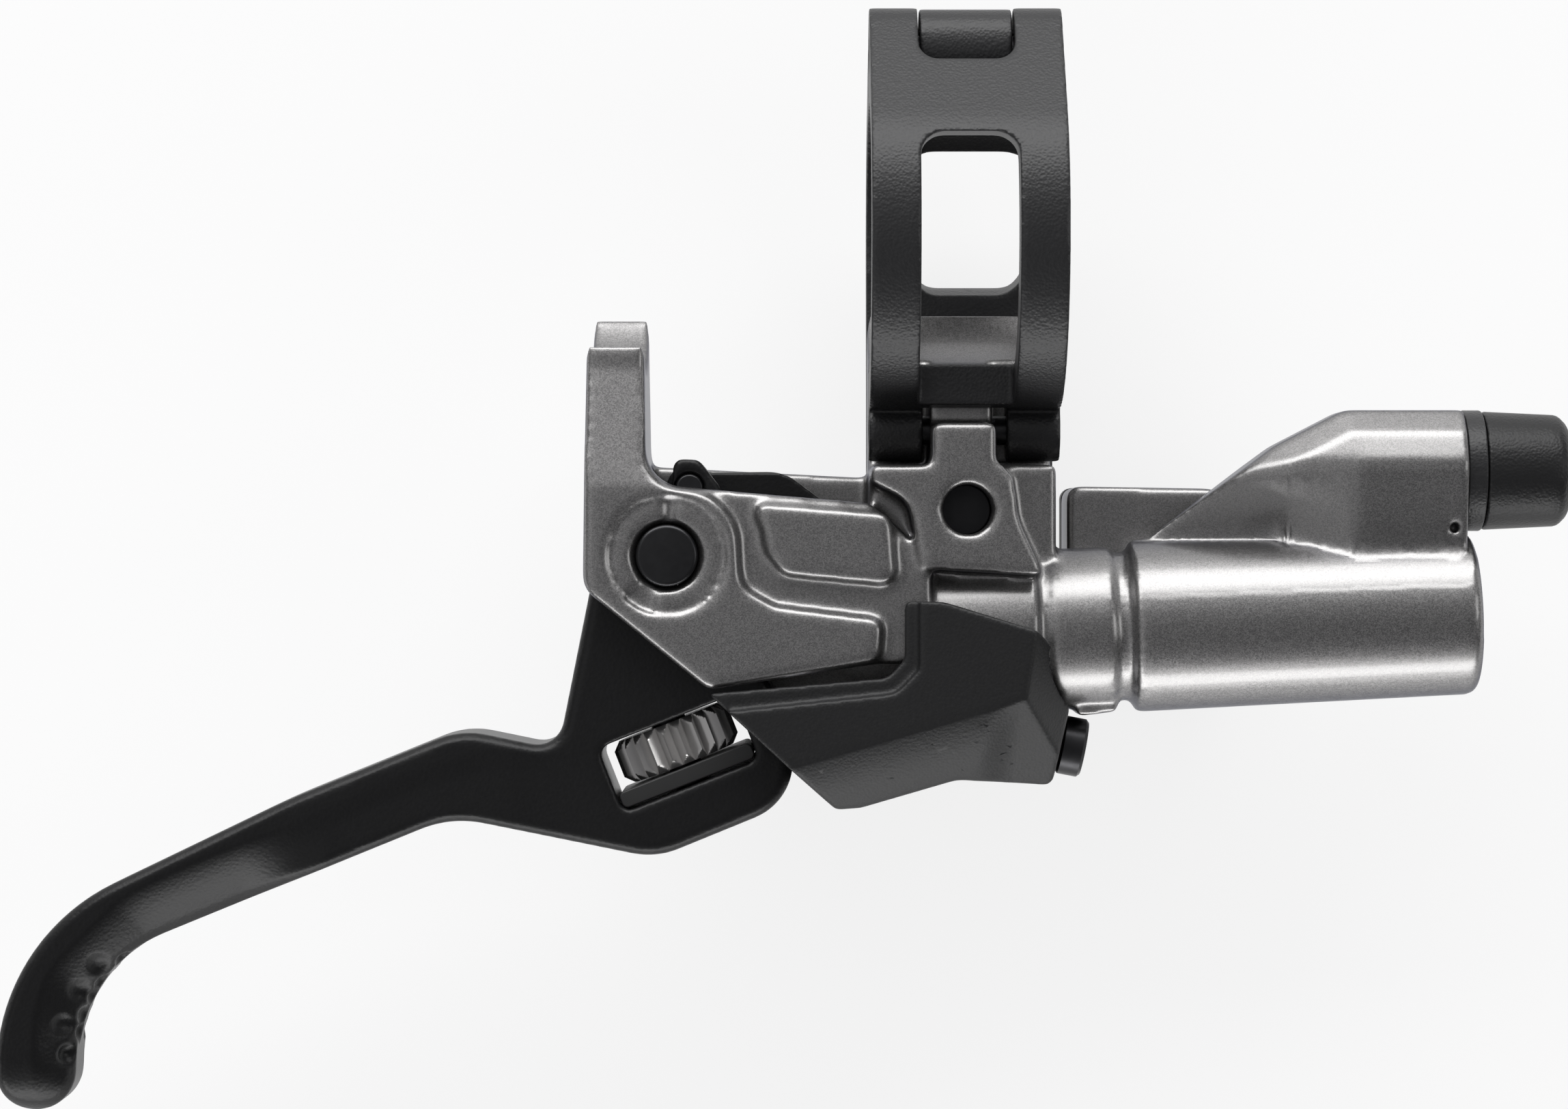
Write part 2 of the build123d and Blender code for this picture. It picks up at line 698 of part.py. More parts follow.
with BuildPart() as clamp_foot_pin:
    with BuildSketch(Plane.YZ.offset(-half_clamp + 0.2)):
        with Locations((foot_y, foot_z)):
            Circle(foot_pin_radius)
    extrude(amount=clamp_width - 0.4)
    chamfer(edges().filter_by(GeomType.CIRCLE), length=0.25)
clamp_foot_pin.part.label = "clamp_foot_pin"

# Socket head bolt that pulls the rear band's ear up to the neck
bolt_head_radius = clamp_bolt_radius + 1.7
bolt_head_height = 3.6
with BuildPart() as clamp_bolt:
    with BuildSketch(Plane.XY.offset(ear_bottom - bolt_head_height)):
        with Locations((0, bolt_y)):
            Circle(bolt_head_radius)
    extrude(amount=bolt_head_height)
    fillet(edges().group_by(Axis.Z)[0], radius=0.5)
    with BuildSketch(Plane.XY.offset(ear_bottom)):
        with Locations((0, bolt_y)):
            Circle(clamp_bolt_radius)
    extrude(amount=clamp_bolt_tip - ear_bottom)
    chamfer(edges().group_by(Axis.Z)[-1], length=0.4)
    with BuildSketch(Plane.XY.offset(ear_bottom - bolt_head_height)):
        with Locations((0, bolt_y)):
            RegularPolygon(radius=2.3, side_count=6)
    extrude(amount=2.2, mode=Mode.SUBTRACT)
clamp_bolt.part.label = "clamp_bolt"

# Pivot pin with its domed cap in the upper wall's recess and a clip groove at the rear
pin_top = pad_level - 0.15
pin_bottom = -wall_outer - 0.9
with BuildPart() as pivot_pin:
    with BuildSketch(Plane.XY.offset(pin_bottom)):
        with Locations((pivot_x, pivot_y)):
            Circle(pivot_pin_radius)
    extrude(amount=pin_top - pin_bottom)
    fillet(edges().group_by(Axis.Z)[-1], radius=0.35)
    with BuildSketch(Plane.XY.offset(-wall_outer + 0.05)):
        with Locations((pivot_x, pivot_y)):
            Circle(pivot_pin_radius + 1)
            Circle(pivot_pin_radius - 0.6, mode=Mode.SUBTRACT)
    extrude(amount=0.7, mode=Mode.SUBTRACT)
pivot_pin.part.label = "pivot_pin"

with BuildPart() as pivot_clip:
    with BuildSketch(Plane.XY.offset(-wall_outer + 0.1)):
        with Locations((pivot_x, pivot_y)):
            Circle(pivot_pin_radius + 1.4)
            Circle(pivot_pin_radius - 0.55, mode=Mode.SUBTRACT)
        with Locations(from_pivot(0, -4)):
            Rectangle(2.6, 6, mode=Mode.SUBTRACT)
    extrude(amount=0.5)
pivot_clip.part.label = "pivot_clip"

# Lever: bent blade, window block, hub and forked ear
blade_points = [
    from_pivot(-5.1, 2.2), from_pivot(-6.3, -2.2), from_pivot(-9.05, -16.0), from_pivot(-17.1, -14.35),
    from_pivot(-31.4, -20.15), from_pivot(-55.6, -31.8), from_pivot(-55.6, -46.1), from_pivot(-49.4, -46.2),
    from_pivot(-49.0, -34.3), from_pivot(-17.9, -21.6), from_pivot(-0.95, -25.0), from_pivot(10.3, -20.4),
    from_pivot(10.4, -13.6), from_pivot(5.5, -6.0), from_pivot(4.6, 2.8),
]
blade_radii = [0, 4, 2.2, 7, 60, 17.2, 2.9, 3.4, 11.5, 9, 6.5, 5, 4, 4, 0]
with BuildPart() as lever_blade:
    with BuildSketch(Plane.XY.offset(-lever_thickness / 2)):
        with BuildLine():
            FilletPolyline(*blade_points, radius=blade_radii, close=True)
        make_face()
        with Locations((pivot_x, pivot_y)):
            Circle(hub_radius)
        with BuildLine():
            FilletPolyline(
                from_pivot(0.45, 3.0), from_pivot(0.45, 8.0), from_pivot(2.6, 7.9), from_pivot(4.4, 5.6),
                from_pivot(5.2, 1.5),
                radius=[0, 0.8, 0.8, 1.5, 0],
                close=True,
            )
        make_face()
    extrude(amount=lever_thickness)
    # The finger part is thinner than the window block, with a taper between them
    taper_far = -33.0
    taper_near = -13.0
    thin_half = blade_thickness / 2
    past_tip = -62.0
    past_blade = 60.0
    for side in (1, -1):
        with BuildSketch(Plane.XZ.offset(-pivot_y + past_blade)):
            with BuildLine():
                Polyline(
                    (pivot_x + past_tip, side * thin_half), (pivot_x + taper_far, side * thin_half),
                    (pivot_x + taper_near, side * (lever_thickness / 2 + 0.001)),
                    (pivot_x + past_tip, side * (lever_thickness / 2 + 0.001)),
                    close=True,
                )
            make_face()
        extrude(amount=-past_blade - 10, mode=Mode.SUBTRACT)
    blade_rims = [
        edge
        for edge in edges()
        if edge.center().X < pivot_x - 20 and abs(edge.center().Z) > blade_thickness / 2 - 0.1
        and edge.bounding_box().size.X > 0.02 and edge.bounding_box().size.Z < 1
    ]
    chamfer(blade_rims, length=blade_chamfer)
    # Grip dimples near the finger side of the blade's hook, on both faces
    for spot in (from_pivot(-47.2, -33.9), from_pivot(-48.9, -36.1), from_pivot(-50.2, -38.9)):
        with Locations((*spot, blade_thickness / 2 + 0.5), (*spot, -blade_thickness / 2 - 0.5)):
            Sphere(dimple_radius, mode=Mode.SUBTRACT)
    # Fork slot for the link
    with BuildSketch(Plane.XY.offset(-link_thickness / 2 - side_gap)):
        with Locations(eye):
            Circle(link_eye_radius + 0.4)
        with BuildLine():
            Polyline(
                (eye[0] - link_eye_radius - 0.4, eye[1]), from_pivot(0.0, 12.0), from_pivot(12.0, 12.0),
                from_pivot(12.0, -4.6), (eye[0] - 1.43, eye[1] - 1.93),
                close=True,
            )
        make_face()
    extrude(amount=link_thickness + 2 * side_gap, mode=Mode.SUBTRACT)
    with BuildSketch(Plane.XY.offset(-lever_thickness)):
        with Locations(eye):
            Circle(link_pin_radius + 0.02)
        with Locations((pivot_x, pivot_y)):
            Circle(pivot_pin_radius + running_gap)
    extrude(amount=2 * lever_thickness, mode=Mode.SUBTRACT)
    # Bushing seats
    for start, amount in ((lever_thickness / 2 + 1, -3.6), (-lever_thickness / 2 - 1, 3.6)):
        with BuildSketch(Plane.XY.offset(start)):
            with Locations((pivot_x, pivot_y)):
                Circle(pivot_pin_radius + running_gap + bushing_wall)
        extrude(amount=amount, mode=Mode.SUBTRACT)
    # Window, and the adjuster screw's hole above and below it
    window_centre = across(wheel_centre, 0, -(window_height - wheel_thickness) / 2 + seat_gap)
    with BuildSketch(Plane.XY.offset(-lever_thickness)):
        with Locations(Location((window_centre[0], window_centre[1], 0), (0, 0, window_tilt))):
            RectangleRounded(window_width, window_height, 0.9)
    extrude(amount=2 * lever_thickness, mode=Mode.SUBTRACT)
    screw_plane = Plane(origin=(wheel_centre[0], wheel_centre[1], 0), z_dir=wheel_axis_dir)
    with BuildSketch(screw_plane.offset(-6.6)):
        Circle(adjuster_screw_radius + running_gap)
    extrude(amount=13.2, mode=Mode.SUBTRACT)
lever_blade.part.label = "lever_blade"

bushing_length = 2.6
for name, start in (
    ("pivot_bushing_upper", lever_thickness / 2 - bushing_length),
    ("pivot_bushing_lower", -lever_thickness / 2),
):
    with BuildPart() as pivot_bushing:
        with BuildSketch(Plane.XY.offset(start)):
            with Locations((pivot_x, pivot_y)):
                Circle(pivot_pin_radius + running_gap + bushing_wall)
                Circle(pivot_pin_radius + running_gap, mode=Mode.SUBTRACT)
        extrude(amount=bushing_length)
    pivot_bushing.part.label = name
    export_step(pivot_bushing.part, f"parts/{name}.step")

# Toothed reach wheel, turned with V-shaped grooves round its rim
with BuildPart() as adjuster_wheel:
    wheel_base = screw_plane.offset(-wheel_thickness / 2)
    with BuildSketch(wheel_base):
        Circle(wheel_radius)
        with PolarLocations(wheel_radius + 0.05, wheel_teeth):
            Polygon(
                (0, 0.55), (0, -0.55), (-tooth_depth, 0),
                align=None,
                mode=Mode.SUBTRACT,
            )
    extrude(amount=wheel_thickness)
    with BuildSketch(wheel_base.offset(-1)):
        Circle(adjuster_screw_radius)
    extrude(amount=wheel_thickness + 2, mode=Mode.SUBTRACT)
adjuster_wheel.part.label = "adjuster_wheel"

with BuildPart() as adjuster_screw:
    with BuildSketch(screw_plane.offset(-6.4)):
        Circle(adjuster_screw_radius)
    extrude(amount=12.8)
    chamfer(edges().filter_by(GeomType.CIRCLE), length=0.3)
adjuster_screw.part.label = "adjuster_screw"

# Keeper bar between the wheel and the window's lower side
with BuildPart() as adjuster_keeper:
    keeper_centre = across(wheel_centre, 0, -wheel_thickness / 2 - seat_gap - keeper_height / 2)
    with BuildSketch(Plane.XY.offset(-lever_thickness / 2 + 0.4)):
        with Locations(Location((keeper_centre[0], keeper_centre[1], 0), (0, 0, window_tilt))):
            RectangleRounded(window_width - 0.3, keeper_height, 0.5)
    extrude(amount=lever_thickness - 0.8)
    with BuildSketch(screw_plane.offset(-8)):
        Circle(adjuster_screw_radius + 2 * running_gap)
    extrude(amount=8, mode=Mode.SUBTRACT)
adjuster_keeper.part.label = "adjuster_keeper"

# Push link: a flat plate with an eye, a round tip and a guard lobe over the slot
with BuildPart() as push_link:
    with BuildSketch(Plane.XY.offset(-link_thickness / 2)):
        with Locations(eye):
            Circle(link_eye_radius)
        with Locations(tip):
            Circle(link_tip_radius)
        make_hull()
        with BuildLine():
            FilletPolyline(
                (eye[0], eye[1] - 1.0), (eye[0] - 1.2, eye[1] + 1.3), (eye[0] + 7.8, eye[1] + 1.4),
                (eye[0] + 11.4, eye[1] - 1.3), (eye[0] + 11.5, eye[1] - 5.0), (tip[0] - 1.1, tip[1] + 0.6),
                radius=[0, 0.6, 4, 1.5, 2, 0],
                close=True,
            )
        make_face()
        with Locations(eye):
            Circle(link_pin_radius + running_gap, mode=Mode.SUBTRACT)
    extrude(amount=link_thickness)
push_link.part.label = "push_link"

with BuildPart() as link_pin:
    with BuildSketch(Plane.XY.offset(-lever_thickness / 2 + 0.1)):
        with Locations(eye):
            Circle(link_pin_radius)
    extrude(amount=lever_thickness - 0.2)
    chamfer(edges().filter_by(GeomType.CIRCLE), length=0.2)
link_pin.part.label = "link_pin"

# Piston turned with two seal grooves, and its rod that ends in a cup for the link's tip
piston_start = washer_start + washer_thickness
piston_end = piston_start + piston_length
primary_start = piston_end - 2.6 - seal_width
secondary_start = piston_start + 2.4
with BuildPart() as piston:
    with BuildSketch(cylinder_plane):
        with BuildLine():
            Polyline(
                (-1.6, 0), (-1.6, rod_radius), (piston_start, rod_radius),
                (piston_start, bore_radius - running_gap),
                (secondary_start, bore_radius - running_gap), (secondary_start, bore_radius - seal_groove),
                (secondary_start + seal_width, bore_radius - seal_groove),
                (secondary_start + seal_width, bore_radius - running_gap),
                (secondary_start + seal_width + 1.2, bore_radius - running_gap),
                (secondary_start + seal_width + 1.8, bore_radius - 1.2),
                (primary_start - 1.8, bore_radius - 1.2), (primary_start - 1.2, bore_radius - running_gap),
                (primary_start, bore_radius - running_gap), (primary_start, bore_radius - seal_groove),
                (primary_start + seal_width, bore_radius - seal_groove),
                (primary_start + seal_width, bore_radius - running_gap),
                (piston_end - 0.4, bore_radius - running_gap), (piston_end, bore_radius - 0.5),
                (piston_end, 0),
                close=True,
            )
        make_face()
    revolve(axis=cylinder_axis)
    with BuildSketch(Plane.XY.offset(-rod_radius - 1)):
        with Locations(tip):
            Circle(link_tip_radius + link_tip_clearance)
    extrude(amount=2 * rod_radius + 2, mode=Mode.SUBTRACT)
piston.part.label = "piston"

for name, start in (("primary_seal", primary_start), ("secondary_seal", secondary_start)):
    with BuildPart() as seal:
        with BuildSketch(cylinder_plane):
            with BuildLine():
                Polyline(
                    (start + 0.1, bore_radius - seal_groove), (start + 0.1, bore_radius - 0.35),
                    (start + seal_width - 0.3, bore_radius - 0.02),
                    (start + seal_width - 0.1, bore_radius - 0.02),
                    (start + seal_width - 0.1, bore_radius - seal_groove),
                    close=True,
                )
            make_face()
        revolve(axis=cylinder_axis)
    seal.part.label = name
    export_step(seal.part, f"parts/{name}.step")

# Return spring between the piston's nose and the bore's end
spring_start = piston_end + spring_wire
spring_end = bore_length - spring_wire
spring_radius = bore_radius - 1.2
with BuildPart() as return_spring:
    with BuildLine() as coil:
        Helix(
            pitch=(spring_end - spring_start) / spring_turns,
            height=spring_end - spring_start,
            radius=spring_radius,
            center=(*along(spring_start), 0),
            direction=(axis_dir[0], axis_dir[1], 0),
        )
    with BuildSketch(Plane(origin=coil.line @ 0, z_dir=coil.line % 0)):
        Circle(spring_wire)
    sweep(is_frenet=True)
return_spring.part.label = "return_spring"

with BuildPart() as stop_washer:
    with BuildSketch(cylinder_plane):
        with BuildLine():
            Polyline(
                (washer_start, rod_radius + 0.2), (washer_start, bore_radius + 0.55),
                (washer_start + washer_thickness, bore_radius + 0.55),
                (washer_start + washer_thickness, rod_radius + 0.2),
                close=True,
            )
        make_face()
    revolve(axis=cylinder_axis)
stop_washer.part.label = "stop_washer"

# Split retaining ring in its groove at the mouth
with BuildPart() as retaining_ring:
    with BuildSketch(Plane(origin=(*along(0.25), 0), z_dir=(axis_dir[0], axis_dir[1], 0))):
        Circle(bore_radius + ring_groove + 0.5)
        Circle(bore_radius - 0.9, mode=Mode.SUBTRACT)
        with Locations((bore_radius, 0)):
            Rectangle(4, 3.2, mode=Mode.SUBTRACT)
    extrude(amount=washer_start - 0.3)
retaining_ring.part.label = "retaining_ring"

# Reservoir diaphragm: a thin rubber sheet with a raised bellows pocket
diaphragm_bottom = tub_rim - diaphragm_thickness
with BuildPart() as reservoir_diaphragm:
    with BuildSketch(Plane.XY.offset(diaphragm_bottom)):
        with BuildLine():
            FilletPolyline(*tub_points, radius=tub_radii, close=True)
        make_face()
        with Locations(*lid_screw_spots):
            Circle(lid_screw_radius + 0.2, mode=Mode.SUBTRACT)
        with Locations(bleed_spot):
            Circle(bleed_radius + 0.6, mode=Mode.SUBTRACT)
    extrude(amount=diaphragm_thickness)
    with BuildSketch(Plane.XY.offset(tub_rim)):
        with Locations(below(2.5, 21.3)):
            RectangleRounded(22, 4.6, 2)
    extrude(amount=3.2, taper=8)
    with BuildSketch(Plane.XY.offset(diaphragm_bottom)):
        with Locations(below(2.5, 21.3)):
            RectangleRounded(20.4, 3.0, 1.2)
    extrude(amount=3.2, taper=8, mode=Mode.SUBTRACT)
reservoir_diaphragm.part.label = "reservoir_diaphragm"

# Reservoir lid with counterbored screw holes and the bleed port
lid_bottom = diaphragm_bottom - lid_thickness
with BuildPart() as reservoir_cover:
    with BuildSketch(Plane.XY.offset(lid_bottom)):
        with BuildLine():
            FilletPolyline(*tub_points, radius=tub_radii, close=True)
        make_face()
    extrude(amount=lid_thickness)
    chamfer(faces().sort_by(Axis.Z)[0].edges(), length=0.5)
    with BuildSketch(Plane.XY.offset(lid_bottom - 1)):
        with Locations(*lid_screw_spots):
            Circle(lid_screw_radius + 0.1)
        with Locations(bleed_spot):
            Circle(bleed_radius + running_gap)
    extrude(amount=lid_thickness + 2, mode=Mode.SUBTRACT)
    with BuildSketch(Plane.XY.offset(lid_bottom - 1)):
        with Locations(*lid_screw_spots):
            Circle(lid_screw_head_radius + 0.15)
    extrude(amount=1 + lid_screw_head_height + 0.05, mode=Mode.SUBTRACT)
    with BuildSketch(Plane.XY.offset(lid_bottom - 1)):
        with Locations(bleed_spot):
            Circle(bleed_radius + 1.1)
    extrude(amount=1.8, mode=Mode.SUBTRACT)
reservoir_cover.part.label = "reservoir_cover"

# Four lid screws, a group of separate solids
lid_head_bottom = lid_bottom + 0.05
with BuildPart() as reservoir_screws:
    with BuildSketch(Plane.XY.offset(lid_head_bottom)):
        with Locations(*lid_screw_spots):
            Circle(lid_screw_head_radius)
            RegularPolygon(radius=1.1, side_count=6, mode=Mode.SUBTRACT)
    extrude(amount=lid_screw_head_height - 0.4)
    with BuildSketch(Plane.XY.offset(lid_head_bottom + lid_screw_head_height - 0.4)):
        with Locations(*lid_screw_spots):
            Circle(lid_screw_head_radius)
    extrude(amount=0.4)
    with BuildSketch(Plane.XY.offset(lid_head_bottom + lid_screw_head_height)):
        with Locations(*lid_screw_spots):
            Circle(lid_screw_radius)
    extrude(amount=6.0)
reservoir_screws.part.label = "reservoir_screws"

# Bleed screw with a low socket head, over a rubber ring
with BuildPart() as bleed_screw:
    with BuildSketch(Plane.XY.offset(lid_bottom - 1.4)):
        with Locations(bleed_spot):
            Circle(bleed_radius + 1.0)
            RegularPolygon(radius=1.7, side_count=6, mode=Mode.SUBTRACT)
    extrude(amount=1.0)
    with BuildSketch(Plane.XY.offset(lid_bottom - 0.4)):
        with Locations(bleed_spot):
            Circle(bleed_radius + 1.0)
    extrude(amount=0.4)
    with BuildSketch(Plane.XY.offset(lid_bottom)):
        with Locations(bleed_spot):
            Circle(bleed_radius)
    extrude(amount=4.6)
bleed_screw.part.label = "bleed_screw"

with BuildPart() as bleed_seal:
    with BuildSketch(Plane(origin=(*bleed_spot, 0), x_dir=(1, 0, 0), z_dir=(0, -1, 0))):
        with Locations((bleed_radius + 0.52, lid_bottom + 0.4)):
            Circle(0.36)
    revolve(axis=Axis((*bleed_spot, 0), (0, 0, 1)))
bleed_seal.part.label = "bleed_seal"

# Hose nut: threaded into the boss, with a round collar outside
nut_start = hose_face_x - 7.2
with BuildPart() as hose_nut:
    with BuildSketch(Plane.XY):
        with BuildLine():
            Polyline(
                (nut_start + 3, hose_y + hose_radius),
                (nut_start + 3, hose_y + nut_thread_radius - running_gap),
                (hose_face_x, hose_y + nut_thread_radius - running_gap),
                (hose_face_x, hose_y + nut_collar_radius),
                (hose_face_x + nut_collar_length, hose_y + nut_collar_radius),
                (hose_face_x + nut_collar_length, hose_y + hose_radius),
                close=True,
            )
        make_face()
    revolve(axis=hose_axis)
hose_nut.part.label = "hose_nut"

with BuildPart() as hose_ferrule:
    with BuildSketch(Plane.XY):
        with BuildLine():
            Polyline(
                (nut_start - 0.9, hose_y + hose_radius), (nut_start - 0.9, hose_y + nut_thread_radius - 0.6),
                (nut_start + 1.0, hose_y + nut_thread_radius - 0.1),
                (nut_start + 2.9, hose_y + nut_thread_radius - 0.6),
                (nut_start + 2.9, hose_y + hose_radius),
                close=True,
            )
        make_face()
    revolve(axis=hose_axis)
hose_ferrule.part.label = "hose_ferrule"

# Rubber boot over the nut's outer end
boot_start = hose_face_x + nut_collar_length + 0.05
boot_end = boot_start + boot_length
with BuildPart() as hose_boot:
    with BuildSketch(Plane.XY):
        with BuildLine():
            Polyline(
                (boot_start, hose_y + hose_radius), (boot_start, hose_y + nut_collar_radius - 0.1),
                (boot_end - 0.8, hose_y + boot_tip_radius), (boot_end, hose_y + boot_tip_radius - 0.8),
                (boot_end, hose_y + hose_radius),
                close=True,
            )
        make_face()
    revolve(axis=hose_axis)
hose_boot.part.label = "hose_boot"

# Moulded linkage cover: a shell open to the left and towards the body
cover_points = [
    below(-21.3, 26.8), below(-10.8, 36.45), below(-8.7, 36.3), below(-0.8, 34.0), below(7.2, 34.6),
    below(7.8, 31.4), below(8.8, 27.2), below(7.3, 23.4), below(5.6, 21.6), below(-2.0, 19.3),
    below(-5.2, 19.2), below(-5.2, 24.0), below(-6.6, 25.5),
]
cover_radii = [0, 0.8, 0.8, 3, 0.8, 2, 1, 1.5, 2, 2, 0.5, 1, 1.5]
ridge = (below(-14.5, 32.8), below(4.7, 27.2))
end_line = (below(4.7, 27.2), below(5.7, 20.9))

# The space inside the cover, with its own facets parallel to the outer ones
with BuildPart() as cover_inside:
    with BuildSketch(Plane.XY.offset(-cover_half + cover_skin)):
        with BuildLine():
            Polyline(
                below(-25.0, 27.0), below(-13.6, 36.0), below(-10.6, 34.9), below(-8.6, 34.7),
                below(-0.8, 32.5), below(5.7, 33.0), below(6.2, 31.0), below(7.2, 27.2), below(9.5, 26.0),
                below(9.5, 15.0), below(-25.0, 15.0),
                close=True,
            )
        make_face()
    extrude(amount=2 * (cover_half - cover_skin))
    extrude(facet_wedge(ridge, cover_half, lower_facet_slope, cover_skin), amount=40, both=True,
            mode=Mode.SUBTRACT)
    extrude(facet_wedge(ridge, -cover_half, lower_facet_slope, cover_skin), amount=40, both=True,
            mode=Mode.SUBTRACT)
    extrude(facet_wedge(end_line, cover_half, end_facet_slope, cover_skin), amount=40, both=True,
            mode=Mode.SUBTRACT)

with BuildPart() as linkage_cover:
    with BuildSketch(Plane.XY.offset(-cover_half)):
        with BuildLine():
            FilletPolyline(*cover_points, radius=cover_radii, close=True)
        make_face()
    extrude(amount=2 * cover_half)
    extrude(facet_wedge(ridge, cover_half, lower_facet_slope, 0), amount=40, both=True,
            mode=Mode.SUBTRACT)
    extrude(facet_wedge(ridge, -cover_half, lower_facet_slope, 0), amount=40, both=True,
            mode=Mode.SUBTRACT)
    extrude(facet_wedge(end_line, cover_half, end_facet_slope, 0), amount=40, both=True,
            mode=Mode.SUBTRACT)
    # A lower strip runs along the edge that faces the body
    with BuildSketch(Plane.XY.offset(cover_half - cover_strip_depth)):
        with BuildLine():
            FilletPolyline(
                below(-25.0, 25.0), below(-7.5, 23.5), below(-6.3, 17.5), below(-4.0, 17.5),
                below(-4.0, 24.8), below(-5.9, 26.8), below(-19.9, 28.3), below(-25.0, 31.0),
                radius=[0, 0, 0, 0, 1.0, 2.0, 0, 0],
                close=True,
            )
        make_face()
    extrude(amount=2, mode=Mode.SUBTRACT)
    add(cover_inside.part, mode=Mode.SUBTRACT)
    # The rear skin stops short of the reservoir, and the end wall is cut round the cylinder
    with BuildSketch(Plane.XY.offset(-cover_half - 1)):
        with Locations(below(-5.0, 16.4)):
            Rectangle(44, 20)
    extrude(amount=cover_half + 1 - 3, mode=Mode.SUBTRACT)
    with BuildSketch(Plane(origin=(*along(-1), 0), z_dir=(axis_dir[0], axis_dir[1], 0))):
        Circle(tube_radius + side_gap)
    extrude(amount=tube_length, mode=Mode.SUBTRACT)
    # Hole for the free stroke screw's head, and the cover screw's hole in the rear skin
    with BuildSketch(stroke_plane.offset(-3)):
        Circle(stroke_head_radius + 0.15)
    extrude(amount=9, mode=Mode.SUBTRACT)
    with BuildSketch(Plane.XY.offset(-cover_half - 1)):
        with Locations(cover_screw_spot):
            Circle(cover_screw_radius + 0.1)
    extrude(amount=cover_skin + 2, mode=Mode.SUBTRACT)
linkage_cover.part.label = "linkage_cover"

with BuildPart() as cover_screw:
    with BuildSketch(Plane.XY.offset(-cover_half - 1.3)):
        with Locations(cover_screw_spot):
            Circle(cover_screw_head_radius)
            RegularPolygon(radius=1.0, side_count=6, mode=Mode.SUBTRACT)
    extrude(amount=0.9)
    with BuildSketch(Plane.XY.offset(-cover_half - 0.4)):
        with Locations(cover_screw_spot):
            Circle(cover_screw_head_radius)
    extrude(amount=0.4)
    with BuildSketch(Plane.XY.offset(-cover_half)):
        with Locations(cover_screw_spot):
            Circle(cover_screw_radius)
    extrude(amount=cover_half - slot_half - 0.3)
cover_screw.part.label = "cover_screw"

# Free stroke screw: round head outside the cover, thread through the lug, tip near the lever
with BuildPart() as free_stroke_screw:
    with BuildSketch(stroke_plane):
        Circle(stroke_head_radius)
    extrude(amount=stroke_head_length)
    chamfer(edges().filter_by(GeomType.CIRCLE), length=0.25)
    with BuildSketch(stroke_plane.offset(stroke_head_length)):
        Circle(stroke_screw_radius)
    extrude(amount=stroke_screw_length - stroke_head_length)
    with BuildSketch(stroke_plane):
        RegularPolygon(radius=1.3, side_count=6)
    extrude(amount=1.4, mode=Mode.SUBTRACT)
free_stroke_screw.part.label = "free_stroke_screw"

for piece in (
    body_casting, clamp_front_band, clamp_rear_band, clamp_hinge_pin, clamp_foot_pin, clamp_bolt,
    pivot_pin, pivot_clip, lever_blade, adjuster_wheel, adjuster_screw, adjuster_keeper, push_link,
    link_pin, piston, return_spring, stop_washer, retaining_ring, reservoir_diaphragm,
    reservoir_cover, reservoir_screws, bleed_screw, bleed_seal, hose_nut, hose_ferrule, hose_boot,
    linkage_cover, cover_screw, free_stroke_screw,
):
    export_step(piece.part, f"parts/{piece.part.label}.step")
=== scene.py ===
"""Hydraulic brake lever for a flat bicycle handlebar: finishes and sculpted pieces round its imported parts.

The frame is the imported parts' own: X runs along the bar, away from the grip, Y from the blade towards
the rider, and Z up out of the clamp's front band. Blender's places are in metres, and mm turns a size in
millimetres into one. The functions that reshape a piece work in millimetres throughout.
"""

from math import radians

import bmesh
import bpy
import numpy as np
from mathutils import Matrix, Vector


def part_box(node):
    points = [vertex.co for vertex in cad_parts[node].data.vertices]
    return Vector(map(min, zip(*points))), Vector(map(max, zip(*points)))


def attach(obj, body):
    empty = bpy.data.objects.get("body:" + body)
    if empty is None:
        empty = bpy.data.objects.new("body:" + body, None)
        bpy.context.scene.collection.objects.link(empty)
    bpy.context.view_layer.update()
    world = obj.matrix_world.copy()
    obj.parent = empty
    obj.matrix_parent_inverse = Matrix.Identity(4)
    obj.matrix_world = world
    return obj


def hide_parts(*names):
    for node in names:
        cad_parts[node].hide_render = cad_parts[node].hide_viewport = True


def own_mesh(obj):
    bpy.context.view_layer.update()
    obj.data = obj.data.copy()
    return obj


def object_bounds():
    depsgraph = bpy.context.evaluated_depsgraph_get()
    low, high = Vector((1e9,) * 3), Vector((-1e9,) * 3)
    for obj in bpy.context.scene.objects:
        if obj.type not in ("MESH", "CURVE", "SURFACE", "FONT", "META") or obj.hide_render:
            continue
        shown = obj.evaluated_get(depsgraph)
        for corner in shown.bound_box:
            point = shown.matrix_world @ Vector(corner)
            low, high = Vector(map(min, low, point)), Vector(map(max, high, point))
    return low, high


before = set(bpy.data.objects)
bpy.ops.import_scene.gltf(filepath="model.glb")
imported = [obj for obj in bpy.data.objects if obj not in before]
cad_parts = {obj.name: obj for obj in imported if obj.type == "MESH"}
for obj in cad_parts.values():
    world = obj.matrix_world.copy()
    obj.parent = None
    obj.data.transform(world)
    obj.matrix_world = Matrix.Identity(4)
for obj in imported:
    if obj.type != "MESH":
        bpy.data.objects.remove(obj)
cad_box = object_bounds()
mm = 0.001

# Body casting: clevis, arm, neck, reservoir tub, cylinder and hose boss in one die casting.
# It is aluminium, blasted and sprayed with a warm grey metallic satin paint that holds fine flakes.


